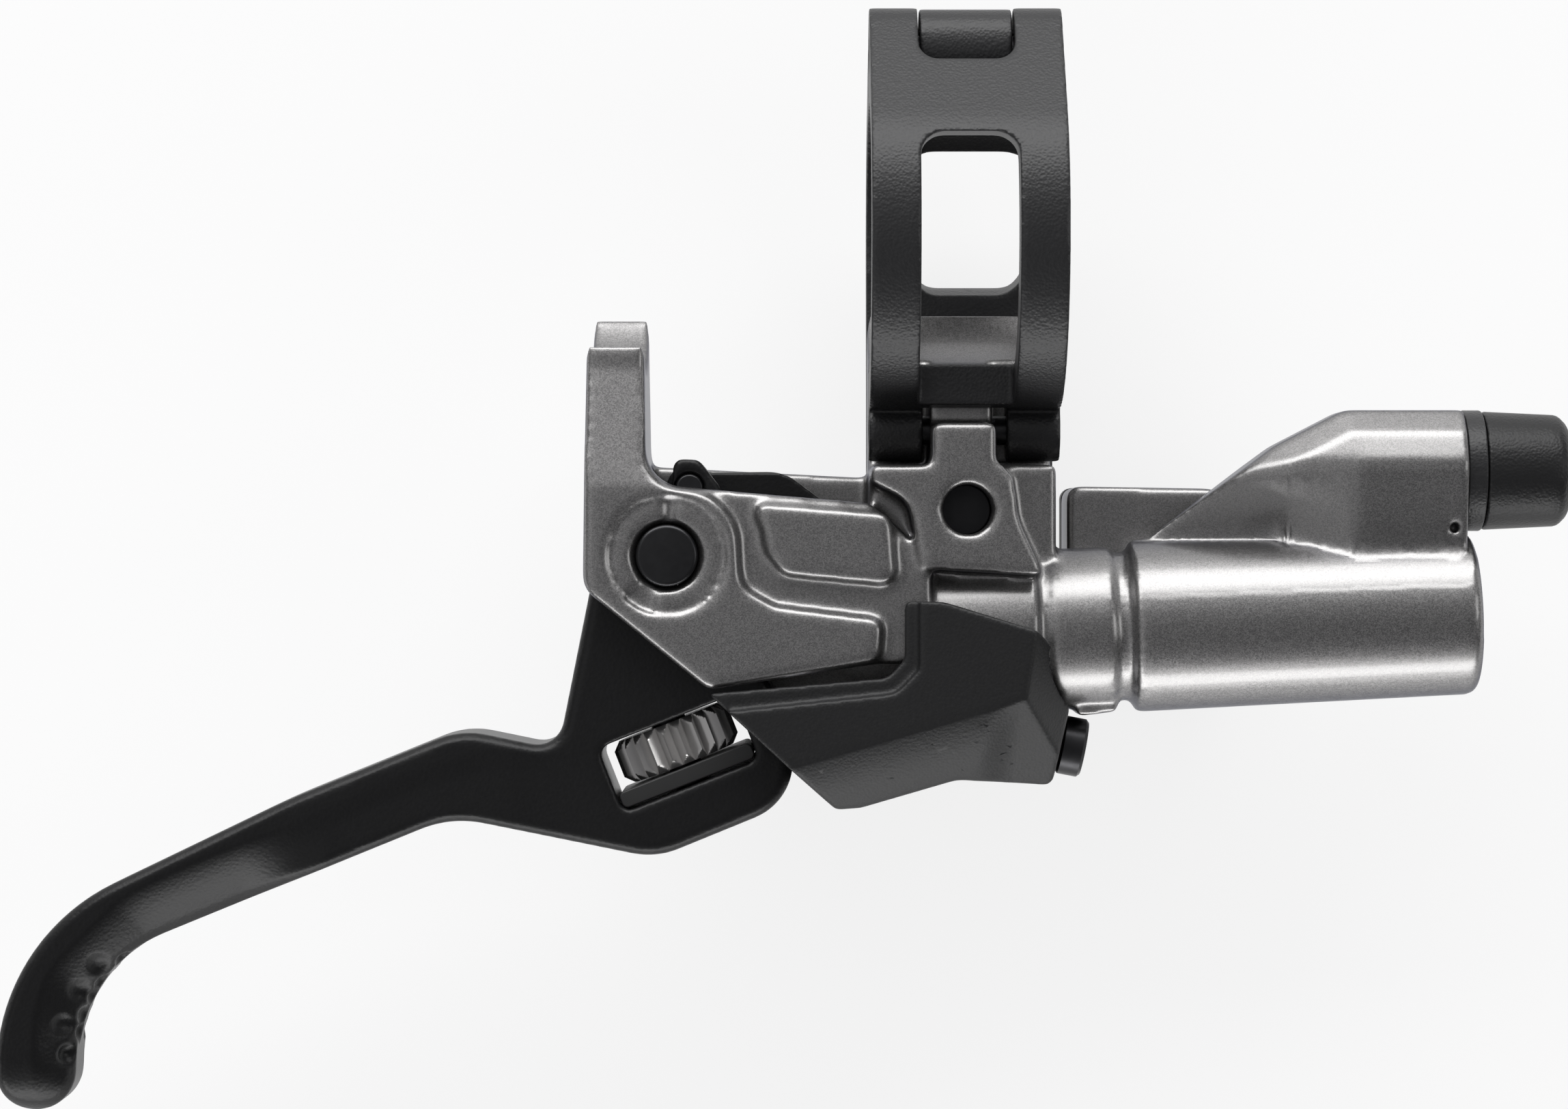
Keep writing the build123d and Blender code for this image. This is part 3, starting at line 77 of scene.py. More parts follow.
def eased_copy(node, ease, sharp=28, steps=2):
    """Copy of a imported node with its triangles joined, flat faces made whole and edges rounded by ease."""
    shell = bmesh.new()
    shell.from_mesh(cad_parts[node].data)
    bmesh.ops.remove_doubles(shell, verts=shell.verts, dist=0.002 * mm)
    bmesh.ops.dissolve_limit(shell, angle_limit=radians(0.3), verts=shell.verts, edges=shell.edges)
    bmesh.ops.recalc_face_normals(shell, faces=shell.faces)
    mesh = bpy.data.meshes.new(node + "_finish")
    shell.to_mesh(mesh)
    shell.free()
    mesh.shade_smooth()
    mesh.set_sharp_from_angle(angle=radians(sharp))
    piece = bpy.data.objects.new(node + "_finish", mesh)
    bpy.context.collection.objects.link(piece)
    rounding = piece.modifiers.new("eased_edges", "BEVEL")
    rounding.width = ease
    rounding.segments = steps
    rounding.limit_method = "ANGLE"
    rounding.angle_limit = radians(sharp)
    rounding.harden_normals = True
    return piece


def cast_copy(node, cell, passes, keep=1.0):
    """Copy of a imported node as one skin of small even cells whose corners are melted, as cast metal's are.

    Each of the passes moves a point half way to the middle of its neighbours. keep is the share of the
    triangles that is left at the end.
    """
    piece = eased_copy(node, 0.0)
    piece.modifiers.clear()
    skin = piece.modifiers.new("even_cells", "REMESH")
    skin.mode = "VOXEL"
    skin.voxel_size = cell
    melt = piece.modifiers.new("melted_corners", "SMOOTH")
    melt.factor = 0.5
    melt.iterations = passes
    if keep < 1.0:
        fewer = piece.modifiers.new("fewer_cells", "DECIMATE")
        fewer.ratio = keep
    finished = piece.evaluated_get(bpy.context.evaluated_depsgraph_get())
    mesh = bpy.data.meshes.new_from_object(finished)
    mesh.name = node + "_cast"
    piece.modifiers.clear()
    piece.data = mesh
    mesh.shade_smooth()
    return piece


def fit_out(piece, body, slot_name, finish, *nodes):
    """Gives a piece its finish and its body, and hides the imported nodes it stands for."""
    piece.data.materials.clear()
    piece.data.materials.append(finish)
    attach(piece, body)
    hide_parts(*nodes)


def new_finish(name, colour, metallic, roughness):
    """Principled material with its constants on the shader, and its tree for further nodes."""
    finish = bpy.data.materials.new(name)
    finish.use_nodes = True
    shader = finish.node_tree.nodes["Principled BSDF"]
    shader.inputs["Base Color"].default_value = (*colour, 1)
    shader.inputs["Metallic"].default_value = metallic
    shader.inputs["Roughness"].default_value = roughness
    return finish, finish.node_tree, shader


def grain_group():
    """Group that puts out soft grain, round pebbles and flat flakes over the surface, between 0 and 1."""
    group = bpy.data.node_groups.new("surface_grain", "ShaderNodeTree")
    for name, value in (("Grain Scale", 3000.0), ("Pebble Scale", 1500.0)):
        socket = group.interface.new_socket(name, in_out="INPUT", socket_type="NodeSocketFloat")
        socket.default_value = value
    for name in ("Grain", "Pebble", "Flake"):
        group.interface.new_socket(name, in_out="OUTPUT", socket_type="NodeSocketFloat")
    nodes, links = group.nodes, group.links
    entry = nodes.new("NodeGroupInput")
    leave = nodes.new("NodeGroupOutput")
    place = nodes.new("ShaderNodeTexCoord")
    grain = nodes.new("ShaderNodeTexNoise")
    grain.inputs["Detail"].default_value = 3
    pebble = nodes.new("ShaderNodeTexVoronoi")
    pebble.feature = "SMOOTH_F1"
    pebble.inputs["Smoothness"].default_value = 0.6
    flake = nodes.new("ShaderNodeTexVoronoi")
    apart = nodes.new("ShaderNodeSeparateColor")
    for texture in (grain, pebble, flake):
        links.new(place.outputs["Object"], texture.inputs["Vector"])
    links.new(entry.outputs["Grain Scale"], grain.inputs["Scale"])
    links.new(entry.outputs["Pebble Scale"], pebble.inputs["Scale"])
    links.new(entry.outputs["Grain Scale"], flake.inputs["Scale"])
    links.new(flake.outputs["Color"], apart.inputs["Color"])
    links.new(grain.outputs["Fac"], leave.inputs["Grain"])
    links.new(pebble.outputs["Distance"], leave.inputs["Pebble"])
    links.new(apart.outputs["Red"], leave.inputs["Flake"])
    return group


surface_grain = grain_group()


def add_grain(tree, grain_scale, pebble_scale):
    """Node that places the shared grain in a material with its own scales."""
    node = tree.nodes.new("ShaderNodeGroup")
    node.node_tree = surface_grain
    node.inputs["Grain Scale"].default_value = grain_scale
    node.inputs["Pebble Scale"].default_value = pebble_scale
    return node


def add_bump(tree, shader, height, strength, distance):
    """Bump from a height output into the shader's normal."""
    bump = tree.nodes.new("ShaderNodeBump")
    bump.inputs["Strength"].default_value = strength
    bump.inputs["Distance"].default_value = distance
    tree.links.new(height, bump.inputs["Height"])
    tree.links.new(bump.outputs["Normal"], shader.inputs["Normal"])


def add_range(tree, factor, low, high, target):
    """Maps a 0 to 1 output to a range of values and links it to a socket."""
    spread = tree.nodes.new("ShaderNodeMapRange")
    spread.inputs["To Min"].default_value = low
    spread.inputs["To Max"].default_value = high
    tree.links.new(factor, spread.inputs["Value"])
    tree.links.new(spread.outputs["Result"], target)


def add_blend(tree, factor, dark, light, target):
    """Mixes two colours by a 0 to 1 output and links the result to a socket."""
    blend = tree.nodes.new("ShaderNodeMix")
    blend.data_type = "RGBA"
    blend.inputs["A"].default_value = (*dark, 1)
    blend.inputs["B"].default_value = (*light, 1)
    tree.links.new(factor, blend.inputs["Factor"])
    tree.links.new(blend.outputs["Result"], target)


def metallic_paint():
    """Grey paint whose small flakes change its colour, its gloss and the way it faces."""
    finish, tree, shader = new_finish("body_metallic_paint", (0.27, 0.265, 0.262), 0.95, 0.3)
    grain = add_grain(tree, 13000, 4000)
    add_blend(tree, grain.outputs["Flake"], (0.21, 0.207, 0.206), (0.34, 0.334, 0.33),
              shader.inputs["Base Color"])
    add_range(tree, grain.outputs["Flake"], 0.30, 0.40, shader.inputs["Roughness"])
    add_bump(tree, shader, grain.outputs["Flake"], 0.12, 0.01 * mm)
    shader.inputs["Specular Tint"].default_value = (0.20, 0.21, 0.27, 1)
    shader.inputs["Coat Weight"].default_value = 0.3
    shader.inputs["Coat Roughness"].default_value = 0.06
    return finish


def points_of(mesh):
    """Points of a mesh in mm, one row for each."""
    points = np.empty(len(mesh.vertices) * 3)
    mesh.vertices.foreach_get("co", points)
    return points.reshape(-1, 3) / mm


def move_points(mesh, points):
    """Puts the points of a mesh where rows of places in mm say."""
    mesh.vertices.foreach_set("co", (points * mm).ravel())
    mesh.update()


# The cylinder's axis and skin, and the boss's face over it, in mm: starts and corners are places along X.
cylinder_depth = 33.2
cylinder_slope = 0.0384
cylinder_radius = 7.2
cylinder_taper = 0.0155
cylinder_start = 16.0
boss_face_reach = (25.8, 26.9, 32.5)
boss_face_height = (4.34, 4.7, 5.8)
boss_left = 10.0
boss_corner = 31.4
boss_far_side = 12.0
boss_near_side = 5.4
boss_sink = 1.6
boss_left_sink = 1.4
boss_web = 0.35
boss_inner_side = 2.6
boss_lowest = 0.3
boss_reach_limit = 1.4
boss_left_fade = 4.0
skin_margin = 0.4


def sink_boss(piece):
    """Lets the hose boss's broad face fall towards the cylinder, so that more of the cylinder stands free.

    With q the distance from the cylinder's axis, the face sinks by 1.6 mm where q is 5.4 mm, by nothing
    where it is 12 mm, and evenly between. Left of X = 31.4 mm it sinks by up to 1.4 mm more. Every height
    over the middle plane shrinks by the same share, down to the cylinder's own round skin, and the two
    meet in a smooth maximum: half of their sum and of the root of their squared difference plus the
    squared web.
    """
    points = points_of(piece.data)
    reach, height = points[:, 0], points[:, 2]
    beside = points[:, 1] + cylinder_depth - cylinder_slope * reach
    radius = cylinder_radius - cylinder_taper * (reach - cylinder_start)
    skin = np.sqrt(np.clip(radius ** 2 - beside ** 2, 0.0, None))
    face = np.interp(reach, boss_face_reach, boss_face_height)
    near = np.clip((boss_far_side - beside) / (boss_far_side - boss_near_side), 0.0, boss_reach_limit)
    left = np.clip((boss_corner - reach) / (boss_corner - boss_face_reach[0]), 0.0, 1.0)
    left *= np.clip((boss_far_side - beside) / boss_left_fade, 0.0, 1.0)
    lower = height * (1.0 - (boss_sink * near + boss_left_sink * left) / face)
    blended = 0.5 * (lower + skin + np.hypot(lower - skin, boss_web))
    outside = (height > boss_lowest) & (np.hypot(beside, height) > radius - skin_margin)
    chosen = outside & (beside > boss_inner_side) & (beside < boss_far_side) & (reach > boss_left)
    points[:, 2] = np.where(chosen, np.minimum(blended, height), height)
    move_points(piece.data, points)
    return piece


body_paint = metallic_paint()
fit_out(sink_boss(cast_copy("body_casting", 0.26 * mm, 16, 0.52)), "bracket", "body_paint", body_paint,
        "body_casting")

# Handlebar clamp: two forged aluminium half bands joined by a hinge pin, the front one with a
# window, the rear one with an ear for the bolt. Both carry a thick black powder coat with a pebbled skin.


def pebbled_coat():
    """Black powder coat with small round pebbles."""
    finish, tree, shader = new_finish("clamp_powder_coat", (0.012, 0.012, 0.013), 0.0, 0.42)
    grain = add_grain(tree, 2600, 4200)
    add_blend(tree, grain.outputs["Grain"], (0.009, 0.009, 0.010), (0.018, 0.018, 0.019),
              shader.inputs["Base Color"])
    add_bump(tree, shader, grain.outputs["Pebble"], 0.5, 0.06 * mm)
    shader.inputs["Specular IOR Level"].default_value = 0.45
    return finish


def ease_step(low, high, value):
    """0 below low, 1 above high, and a smooth step between them."""
    part = np.clip((value - low) / (high - low), 0.0, 1.0)
    return part * part * (3.0 - 2.0 * part)


# Angles round the bar in degrees, and sizes in mm.
window_angles = (-44.0, -25.0, 25.0, 68.0)
window_turns = (0.0, 9.0, 17.0, 0.0)
window_wall_angles = (-44.0, -25.0, 25.0, 50.0)
window_half = 4.0
window_wall_shift = 1.5
band_edge = 7.9
knuckle_growth = 0.5
knuckle_reach = (13.0, 17.5)
knuckle_half = (3.9, 4.2)


def shift_window(piece):
    """Slides the rear band's window round the bar and widens it.

    The angle round the bar, from straight down, grows by 9 degrees at the window's near edge and by 17
    at its far edge, and falls back to nothing before the ear and the hinge. Its right wall moves by
    1.5 mm and the metal between it and the band's edge gives way evenly. The knuckle grows by 0.5 mm.
    """
    points = points_of(piece.data)
    radius = np.hypot(points[:, 1], points[:, 2])
    angle = np.degrees(np.arctan2(points[:, 1], -points[:, 2]))
    turn = np.radians(angle + np.interp(angle, window_angles, window_turns))
    beside = np.interp(angle, window_wall_angles, (0.0, 1.0, 1.0, 0.0))
    rightwards = np.interp(points[:, 0], (-window_half, window_half, band_edge), (0.0, 1.0, 0.0))
    points[:, 0] += window_wall_shift * beside * rightwards
    points[:, 1] = radius * np.sin(turn)
    points[:, 2] = -radius * np.cos(turn)
    knuckle = ease_step(*knuckle_reach, points[:, 1]) * (1.0 - ease_step(*knuckle_half, np.abs(points[:, 0])))
    points[:, 1] += knuckle_growth * knuckle
    move_points(piece.data, points)
    return piece


powder_coat = pebbled_coat()
fit_out(cast_copy("clamp_front_band", 0.2 * mm, 6, 0.6), "bracket", "band_black", powder_coat,
        "clamp_front_band")
fit_out(shift_window(cast_copy("clamp_rear_band", 0.2 * mm, 6, 0.6)), "bracket", "band_black", powder_coat,
        "clamp_rear_band")

# Pins, screws, clip, washer and ring: turned or bent from steel, plated or blackened. The clamp's pins and
# the link's pin are pressed in, the clip holds the pivot pin, and the ring holds the washer in the bore.


def turned_metal(name, colour, roughness):
    """Metal with a fine uneven polish."""
    finish, tree, shader = new_finish(name, colour, 1.0, roughness)
    grain = add_grain(tree, 1500, 2500)
    add_range(tree, grain.outputs["Grain"], roughness - 0.08, roughness + 0.1, shader.inputs["Roughness"])
    return finish


plated_steel = turned_metal("plated_steel", (0.60, 0.60, 0.61), 0.3)
black_steel = turned_metal("blackened_steel", (0.045, 0.045, 0.047), 0.34)
for node in ("pivot_clip", "stop_washer", "retaining_ring"):
    fit_out(eased_copy(node, 0.06 * mm), "bracket", "steel", plated_steel, node)
for node in ("clamp_hinge_pin", "clamp_foot_pin"):
    fit_out(eased_copy(node, 0.1 * mm), "bracket", "steel", black_steel, node)
for node in ("clamp_bolt", "pivot_pin", "reservoir_screws", "bleed_screw", "cover_screw",
             "free_stroke_screw"):
    fit_out(eased_copy(node, 0.12 * mm), "bracket", "dark_steel", black_steel, node)
fit_out(eased_copy("link_pin", 0.08 * mm), "lever", "dark_steel", black_steel, "link_pin")

# Lever: forged aluminium blade, black anodised over a fine blasted skin, with a forked ear.
# The push link between its ears and the cylinder is a flat forging with the same finish.


def anodised_skin():
    """Satin black anodising over a finely blasted surface."""
    finish, tree, shader = new_finish("lever_anodised", (0.006, 0.006, 0.0065), 0.0, 0.36)
    grain = add_grain(tree, 3000, 3600)
    add_blend(tree, grain.outputs["Grain"], (0.004, 0.004, 0.0043), (0.008, 0.008, 0.0085),
              shader.inputs["Base Color"])
    add_bump(tree, shader, grain.outputs["Pebble"], 0.35, 0.04 * mm)
    shader.inputs["Specular IOR Level"].default_value = 0.27
    return finish


def side_of_line(spots, line):
    """Distance of each spot from a line of points, positive on the line's right hand."""
    best = np.full(len(spots), 1e9)
    side = np.zeros(len(spots))
    for start, end in zip(line[:-1], line[1:]):
        run = end - start
        share = np.clip(((spots - start) @ run) / (run @ run), 0.0, 1.0)
        away = spots - start - share[:, None] * run
        distance = np.hypot(away[:, 0], away[:, 1])
        nearer = distance < best
        best = np.where(nearer, distance, best)
        turn = run[0] * away[:, 1] - run[1] * away[:, 0]
        side = np.where(nearer, -np.sign(turn), side)
    return best * side


# The crease and the dimples as places over X and Y, and the blade's other sizes, in mm.
blade_crease = np.array([(-76.9, -78.0), (-77.1, -69.6), (-77.3, -68.1), (-77.1, -64.3), (-76.1, -61.0),
                         (-74.0, -58.8), (-71.5, -56.4), (-69.8, -54.7), (-65.7, -52.7), (-62.2, -51.2),
                         (-58.2, -49.7), (-53.1, -47.9), (-49.6, -46.4), (-46.1, -44.9), (-42.6, -43.9),
                         (-39.7, -43.0), (-35.2, -43.0), (-32.9, -43.4), (-29.9, -45.4)])
grip_dimples = np.array([(-70.2, -60.1), (-72.0, -62.1), (-72.5, -63.4), (-73.6, -64.8), (-73.6, -66.3),
                         (-74.6, -68.0)])
facet_width = 5.0
facet_end = 4.8
facet_fall = 0.8
facet_power = 1.3
facet_fade = (-60.5, -52.5)
elbow_start = (-58.0, -51.0)
elbow_end = (-36.0, -28.0)
elbow_trough = 0.04
trough_edge = (-0.6, 1.4)
tip_start = -67.4
tip_left = 0.5
dimple_radius = 1.0
dimple_depth = 0.6
dimple_power = 1.2
dimple_level = 0.6
dimple_middle = 0.5


def cut_corners(line, rounds):
    """Line with each corner cut off at a quarter of both its sides, over and over."""
    for _ in range(rounds):
        quarter = 0.25 * (line[1:] - line[:-1])
        cut = np.stack([line[:-1] + quarter, line[1:] - quarter], axis=1).reshape(-1, 2)
        line = np.concatenate([line[:1], cut, line[-1:]])
    return line


def sculpt_blade(piece):
    """Thins the blade towards the finger and hollows its elbow.

    Right of the crease, on the hook, the half thickness falls by 0.8 of (p / 5.0) to the power 1.3, with p
    the distance from the crease in mm. At the elbow it sinks in a shallow trough instead. The tip closes
    along an ellipse. Each small dimple pushes its points inwards along its own normal by its depth times
    one less the squared share of its radius, to the power 1.2.
    """
    points = points_of(piece.data)
    past = side_of_line(points[:, :2], cut_corners(blade_crease, 3))
    hook = 1.0 - ease_step(*facet_fade, points[:, 0])
    slope = 1.0 - facet_fall * (np.clip(past, 0.0, facet_end) / facet_width) ** facet_power
    elbow = ease_step(*elbow_start, points[:, 0]) * (1.0 - ease_step(*elbow_end, points[:, 0]))
    trough = elbow_trough * elbow * ease_step(*trough_edge, past)
    tip_length = tip_start - points[:, 1].min()
    tip = np.sqrt(1.0 - (np.clip(tip_start - points[:, 1], 0.0, None) / (tip_length + tip_left)) ** 2)
    points[:, 2] *= (1.0 - hook * (1.0 - slope)) * (1.0 - trough) * tip
    move_points(piece.data, points)
    normals = np.empty(points.size)
    piece.data.vertices.foreach_get("normal", normals)
    normals = normals.reshape(-1, 3)
    for spot in grip_dimples:
        for hand in (1.0, -1.0):
            beside = np.hypot(*(points[:, :2] - spot).T)
            near = np.where((points[:, 2] * hand > dimple_level) & (beside < dimple_middle))[0]
            if len(near):
                centre = points[near].mean(axis=0)
                inwards = -normals[near].mean(axis=0)
                reach = np.linalg.norm(points - centre, axis=1) / dimple_radius
                push = dimple_depth * np.clip(1.0 - reach ** 2, 0.0, 1.0) ** dimple_power
                points += inwards * push[:, None]
    move_points(piece.data, points)
    return piece


lever_skin = anodised_skin()
fit_out(sculpt_blade(cast_copy("lever_blade", 0.24 * mm, 5)), "lever", "lever_black", lever_skin,
        "lever_blade")
fit_out(cast_copy("push_link", 0.2 * mm, 5, 0.6), "link", "lever_black", lever_skin, "push_link")

# Bearing bushes: two plain sleeves that the lever turns on. They are sintered bronze, soaked in oil and
# pressed into the lever's hub from above and below.
bronze = turned_metal("sintered_bronze", (0.45, 0.30, 0.14), 0.4)
for node in ("pivot_bushing_upper", "pivot_bushing_lower"):
    fit_out(eased_copy(node, 0.1 * mm), "lever", "bronze", bronze, node)

# Reach adjuster: a turned aluminium wheel with broached teeth, screwed on a threaded steel spindle. It
# turns in the blade's window, where a moulded plastic bar is pressed in and keeps it in place.


def closed_surface(name, rows):
    """Mesh of a grid of points, rows by columns by 3 in mm, closed round its rows and its columns."""
    here = np.arange(rows.shape[0] * rows.shape[1]).reshape(rows.shape[:2])
    beside = np.roll(here, -1, axis=1)
    faces = np.stack([here, beside, np.roll(beside, -1, axis=0), np.roll(here, -1, axis=0)], axis=-1)
    mesh = bpy.data.meshes.new(name)
    mesh.from_pydata((rows.reshape(-1, 3) * mm).tolist(), [], faces.reshape(-1, 4).tolist())
    piece = bpy.data.objects.new(name, mesh)
    bpy.context.collection.objects.link(piece)
    return piece


wheel_tilt = radians(21.5)
wheel_bevel = 0.7


def toothed_wheel(radius, thickness, teeth, depth, bore):
    """Wheel with V grooves: the radius falls evenly from each tooth's top to the groove's floor.

    Near both ends it is also held under a 45 degree cone, which points each tooth. The angle runs along
    the grid's columns, and the place along the axis, out and back through the bore, along its rows.
    """
    angle = np.linspace(0.0, 2.0 * np.pi, teeth * 12, endpoint=False)
    share = np.abs((angle * teeth / (2.0 * np.pi)) % 1.0 * 2.0 - 1.0)
    tooth = radius - depth * share
    half = thickness / 2.0
    bevel = np.linspace(0.0, wheel_bevel, 8)
    reach = np.concatenate([bevel - half, half - wheel_bevel + bevel])
    cone = radius - wheel_bevel + np.minimum(half - np.abs(reach), wheel_bevel)
    outside = np.minimum(tooth[None, :], cone[:, None])
    inside = np.full((2, len(angle)), bore)
    radii = np.concatenate([outside, inside])
    height = np.concatenate([reach, [half, -half]])[:, None] * np.ones(len(angle))
    across_axis = np.array([np.cos(wheel_tilt), np.sin(wheel_tilt), 0.0])
    axis = np.array([-np.sin(wheel_tilt), np.cos(wheel_tilt), 0.0])
    centre = np.array([tuple(corner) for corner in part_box("adjuster_wheel")]).mean(axis=0) / mm
    rows = (centre + (radii * np.cos(angle))[..., None] * across_axis
            + (radii * np.sin(angle))[..., None] * np.array([0.0, 0.0, 1.0]) + height[..., None] * axis)
    piece = closed_surface("adjuster_wheel_teeth", rows)
    shell = bmesh.new()
    shell.from_mesh(piece.data)
    bmesh.ops.recalc_face_normals(shell, faces=shell.faces)
    shell.to_mesh(piece.data)
    shell.free()
    piece.data.shade_smooth()
    piece.data.set_sharp_from_angle(angle=radians(24))
    return piece


wheel_grey = new_finish("wheel_anodised", (0.55, 0.54, 0.53), 0.8, 0.22)[0]
wheel = toothed_wheel(radius=5.12, thickness=3.66, teeth=24, depth=0.8, bore=1.53)
fit_out(wheel, "reach_wheel", "wheel_grey", wheel_grey, "adjuster_wheel")
fit_out(eased_copy("adjuster_screw", 0.1 * mm), "reach_wheel", "dark_steel", black_steel, "adjuster_screw")
keeper_plastic = new_finish("keeper_plastic", (0.018, 0.018, 0.018), 0.0, 0.5)[0]
fit_out(eased_copy("adjuster_keeper", 0.15 * mm), "lever", "keeper_plastic", keeper_plastic,
        "adjuster_keeper")

# Piston group in the bore: a turned aluminium piston with two rubber lip seals snapped into its grooves,
# and a coil of plated spring wire that pushes it back.
turned_aluminium = turned_metal("turned_aluminium", (0.68, 0.68, 0.70), 0.3)
seal_rubber = new_finish("seal_rubber", (0.02, 0.02, 0.02), 0.0, 0.55)[0]
fit_out(eased_copy("piston", 0.08 * mm), "piston", "aluminium", turned_aluminium, "piston")
fit_out(eased_copy("primary_seal", 0.05 * mm), "piston", "seal_rubber", seal_rubber, "primary_seal")
fit_out(eased_copy("secondary_seal", 0.05 * mm), "piston", "seal_rubber", seal_rubber, "secondary_seal")
spring = eased_copy("return_spring", 0.02 * mm)
fit_out(spring, "bracket", "steel", plated_steel, "return_spring")
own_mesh(spring)

# Reservoir: a thin moulded rubber diaphragm lies on the tub's rim under a black moulded plastic lid, which
# four screws hold. A rubber ring sits under the bleed screw.


def moulded_plastic():
    """Black plastic with the fine etched texture of its mould."""
    finish, tree, shader = new_finish("moulded_plastic", (0.014, 0.014, 0.015), 0.0, 0.46)
    grain = add_grain(tree, 3000, 4500)
    add_blend(tree, grain.outputs["Grain"], (0.006, 0.006, 0.0065), (0.013, 0.013, 0.0135),
              shader.inputs["Base Color"])
    add_bump(tree, shader, grain.outputs["Pebble"], 0.35, 0.05 * mm)
    shader.inputs["Specular IOR Level"].default_value = 0.36
    return finish


cover_plastic = moulded_plastic()
fit_out(eased_copy("reservoir_diaphragm", 0.1 * mm), "bracket", "seal_rubber", seal_rubber,
        "reservoir_diaphragm")
fit_out(eased_copy("reservoir_cover", 0.25 * mm), "bracket", "cover_plastic", cover_plastic,
        "reservoir_cover")
fit_out(eased_copy("bleed_seal", 0.02 * mm), "bracket", "seal_rubber", seal_rubber, "bleed_seal")

# Linkage cover: a thin shell of black plastic over the push link and the piston's mouth. It is moulded in
# one piece and held to the body by one screw from behind. Its ridge and its end facet's edge are in mm.
cover_ridge = np.array([(-30.0, -48.36), (-14.5, -43.8), (4.7, -38.2)])
cover_end_line = np.array([(3.7, -44.5), (4.7, -38.2), (5.7, -31.9)])
swell_rise = 0.43
swell_bend = 0.055
swell_end = 7.8
end_fade = (0.0, 3.0)
middle_fade = (0.5, 2.5)


def swell_cover(piece):
    """Rounds the cover's lower facet outwards.

    Past the ridge, at a distance d in mm, the shell moves outwards by 0.43 d less 0.055 d squared, which
    dies away at the facet's foot, at the end facet and at the shell's middle plane.
    """
    points = points_of(piece.data)
    past = np.clip(side_of_line(points[:, :2], cover_ridge), 0.0, swell_end)
    before_end = -side_of_line(points[:, :2], cover_end_line)
    outwards = (swell_rise * past - swell_bend * past ** 2) * ease_step(*end_fade, before_end)
    points[:, 2] += np.sign(points[:, 2]) * outwards * ease_step(*middle_fade, np.abs(points[:, 2]))
    move_points(piece.data, points)
    return piece


fit_out(swell_cover(cast_copy("linkage_cover", 0.2 * mm, 8, 0.6)), "bracket", "cover_plastic", cover_plastic,
        "linkage_cover")

# Hose end: a turned nut with the clamp's black coat is screwed into the boss over a bronze ferrule, which
# it squeezes on the hose. A moulded rubber boot is pushed over the nut's end.


def moulded_rubber():
    """Black rubber with the leather-like grain of its mould."""
    finish, tree, shader = new_finish("boot_rubber", (0.011, 0.011, 0.012), 0.0, 0.44)
    grain = add_grain(tree, 2600, 4400)
    add_blend(tree, grain.outputs["Grain"], (0.005, 0.005, 0.0055), (0.010, 0.010, 0.0105),
              shader.inputs["Base Color"])
    add_bump(tree, shader, grain.outputs["Pebble"], 0.5, 0.06 * mm)
    shader.inputs["Specular IOR Level"].default_value = 0.36
    return finish


boot_rubber = moulded_rubber()
fit_out(eased_copy("hose_nut", 0.15 * mm), "bracket", "dark_steel", powder_coat, "hose_nut")
fit_out(eased_copy("hose_ferrule", 0.08 * mm), "bracket", "bronze", bronze, "hose_ferrule")
fit_out(eased_copy("hose_boot", 0.3 * mm), "bracket", "boot_rubber", boot_rubber, "hose_boot")

# Studio: a pale floor just under the part, and a room that is bright low down and dim overhead, dimmest a
# little towards the blade and the hose. One long soft lamp stands low on the rider's side, one on the
# blade's side, and a small one on the right.
floor_level = cad_box[0][2] - 0.3 * mm
floor_reach = 3.0
floor_mesh = bpy.data.meshes.new("studio_floor")
floor_mesh.from_pydata(
    [(-floor_reach, -floor_reach, floor_level), (floor_reach, -floor_reach, floor_level),
     (floor_reach, floor_reach, floor_level), (-floor_reach, floor_reach, floor_level)],
    [], [(0, 1, 2, 3)])
floor_paint, floor_tree, floor_shader = new_finish("studio_floor", (0.9, 0.9, 0.9), 0.0, 0.9)
# The camera and glossy and transmission rays see a white glow over most of the paint. The rest of the
# paint keeps the part's shadow.
glow = floor_tree.nodes.new("ShaderNodeEmission")
cover_up = floor_tree.nodes.new("ShaderNodeMixShader")
ray = floor_tree.nodes.new("ShaderNodeLightPath")
seen = floor_tree.nodes.new("ShaderNodeMath")
seen.operation = "MAXIMUM"
seen_through = floor_tree.nodes.new("ShaderNodeMath")
seen_through.operation = "MAXIMUM"
lift = floor_tree.nodes.new("ShaderNodeMath")
lift.operation = "MULTIPLY"
lift.inputs[1].default_value = 0.8
floor_tree.links.new(ray.outputs["Is Camera Ray"], seen.inputs[0])
floor_tree.links.new(ray.outputs["Is Glossy Ray"], seen.inputs[1])
floor_tree.links.new(seen.outputs[0], seen_through.inputs[0])
floor_tree.links.new(ray.outputs["Is Transmission Ray"], seen_through.inputs[1])
floor_tree.links.new(seen_through.outputs[0], lift.inputs[0])
floor_tree.links.new(lift.outputs[0], cover_up.inputs["Fac"])
floor_tree.links.new(floor_shader.outputs["BSDF"], cover_up.inputs[1])
floor_tree.links.new(glow.outputs["Emission"], cover_up.inputs[2])
floor_tree.links.new(cover_up.outputs["Shader"], floor_tree.nodes["Material Output"].inputs["Surface"])
floor_mesh.materials.append(floor_paint)
floor = bpy.data.objects.new("studio_floor", floor_mesh)
bpy.context.collection.objects.link(floor)

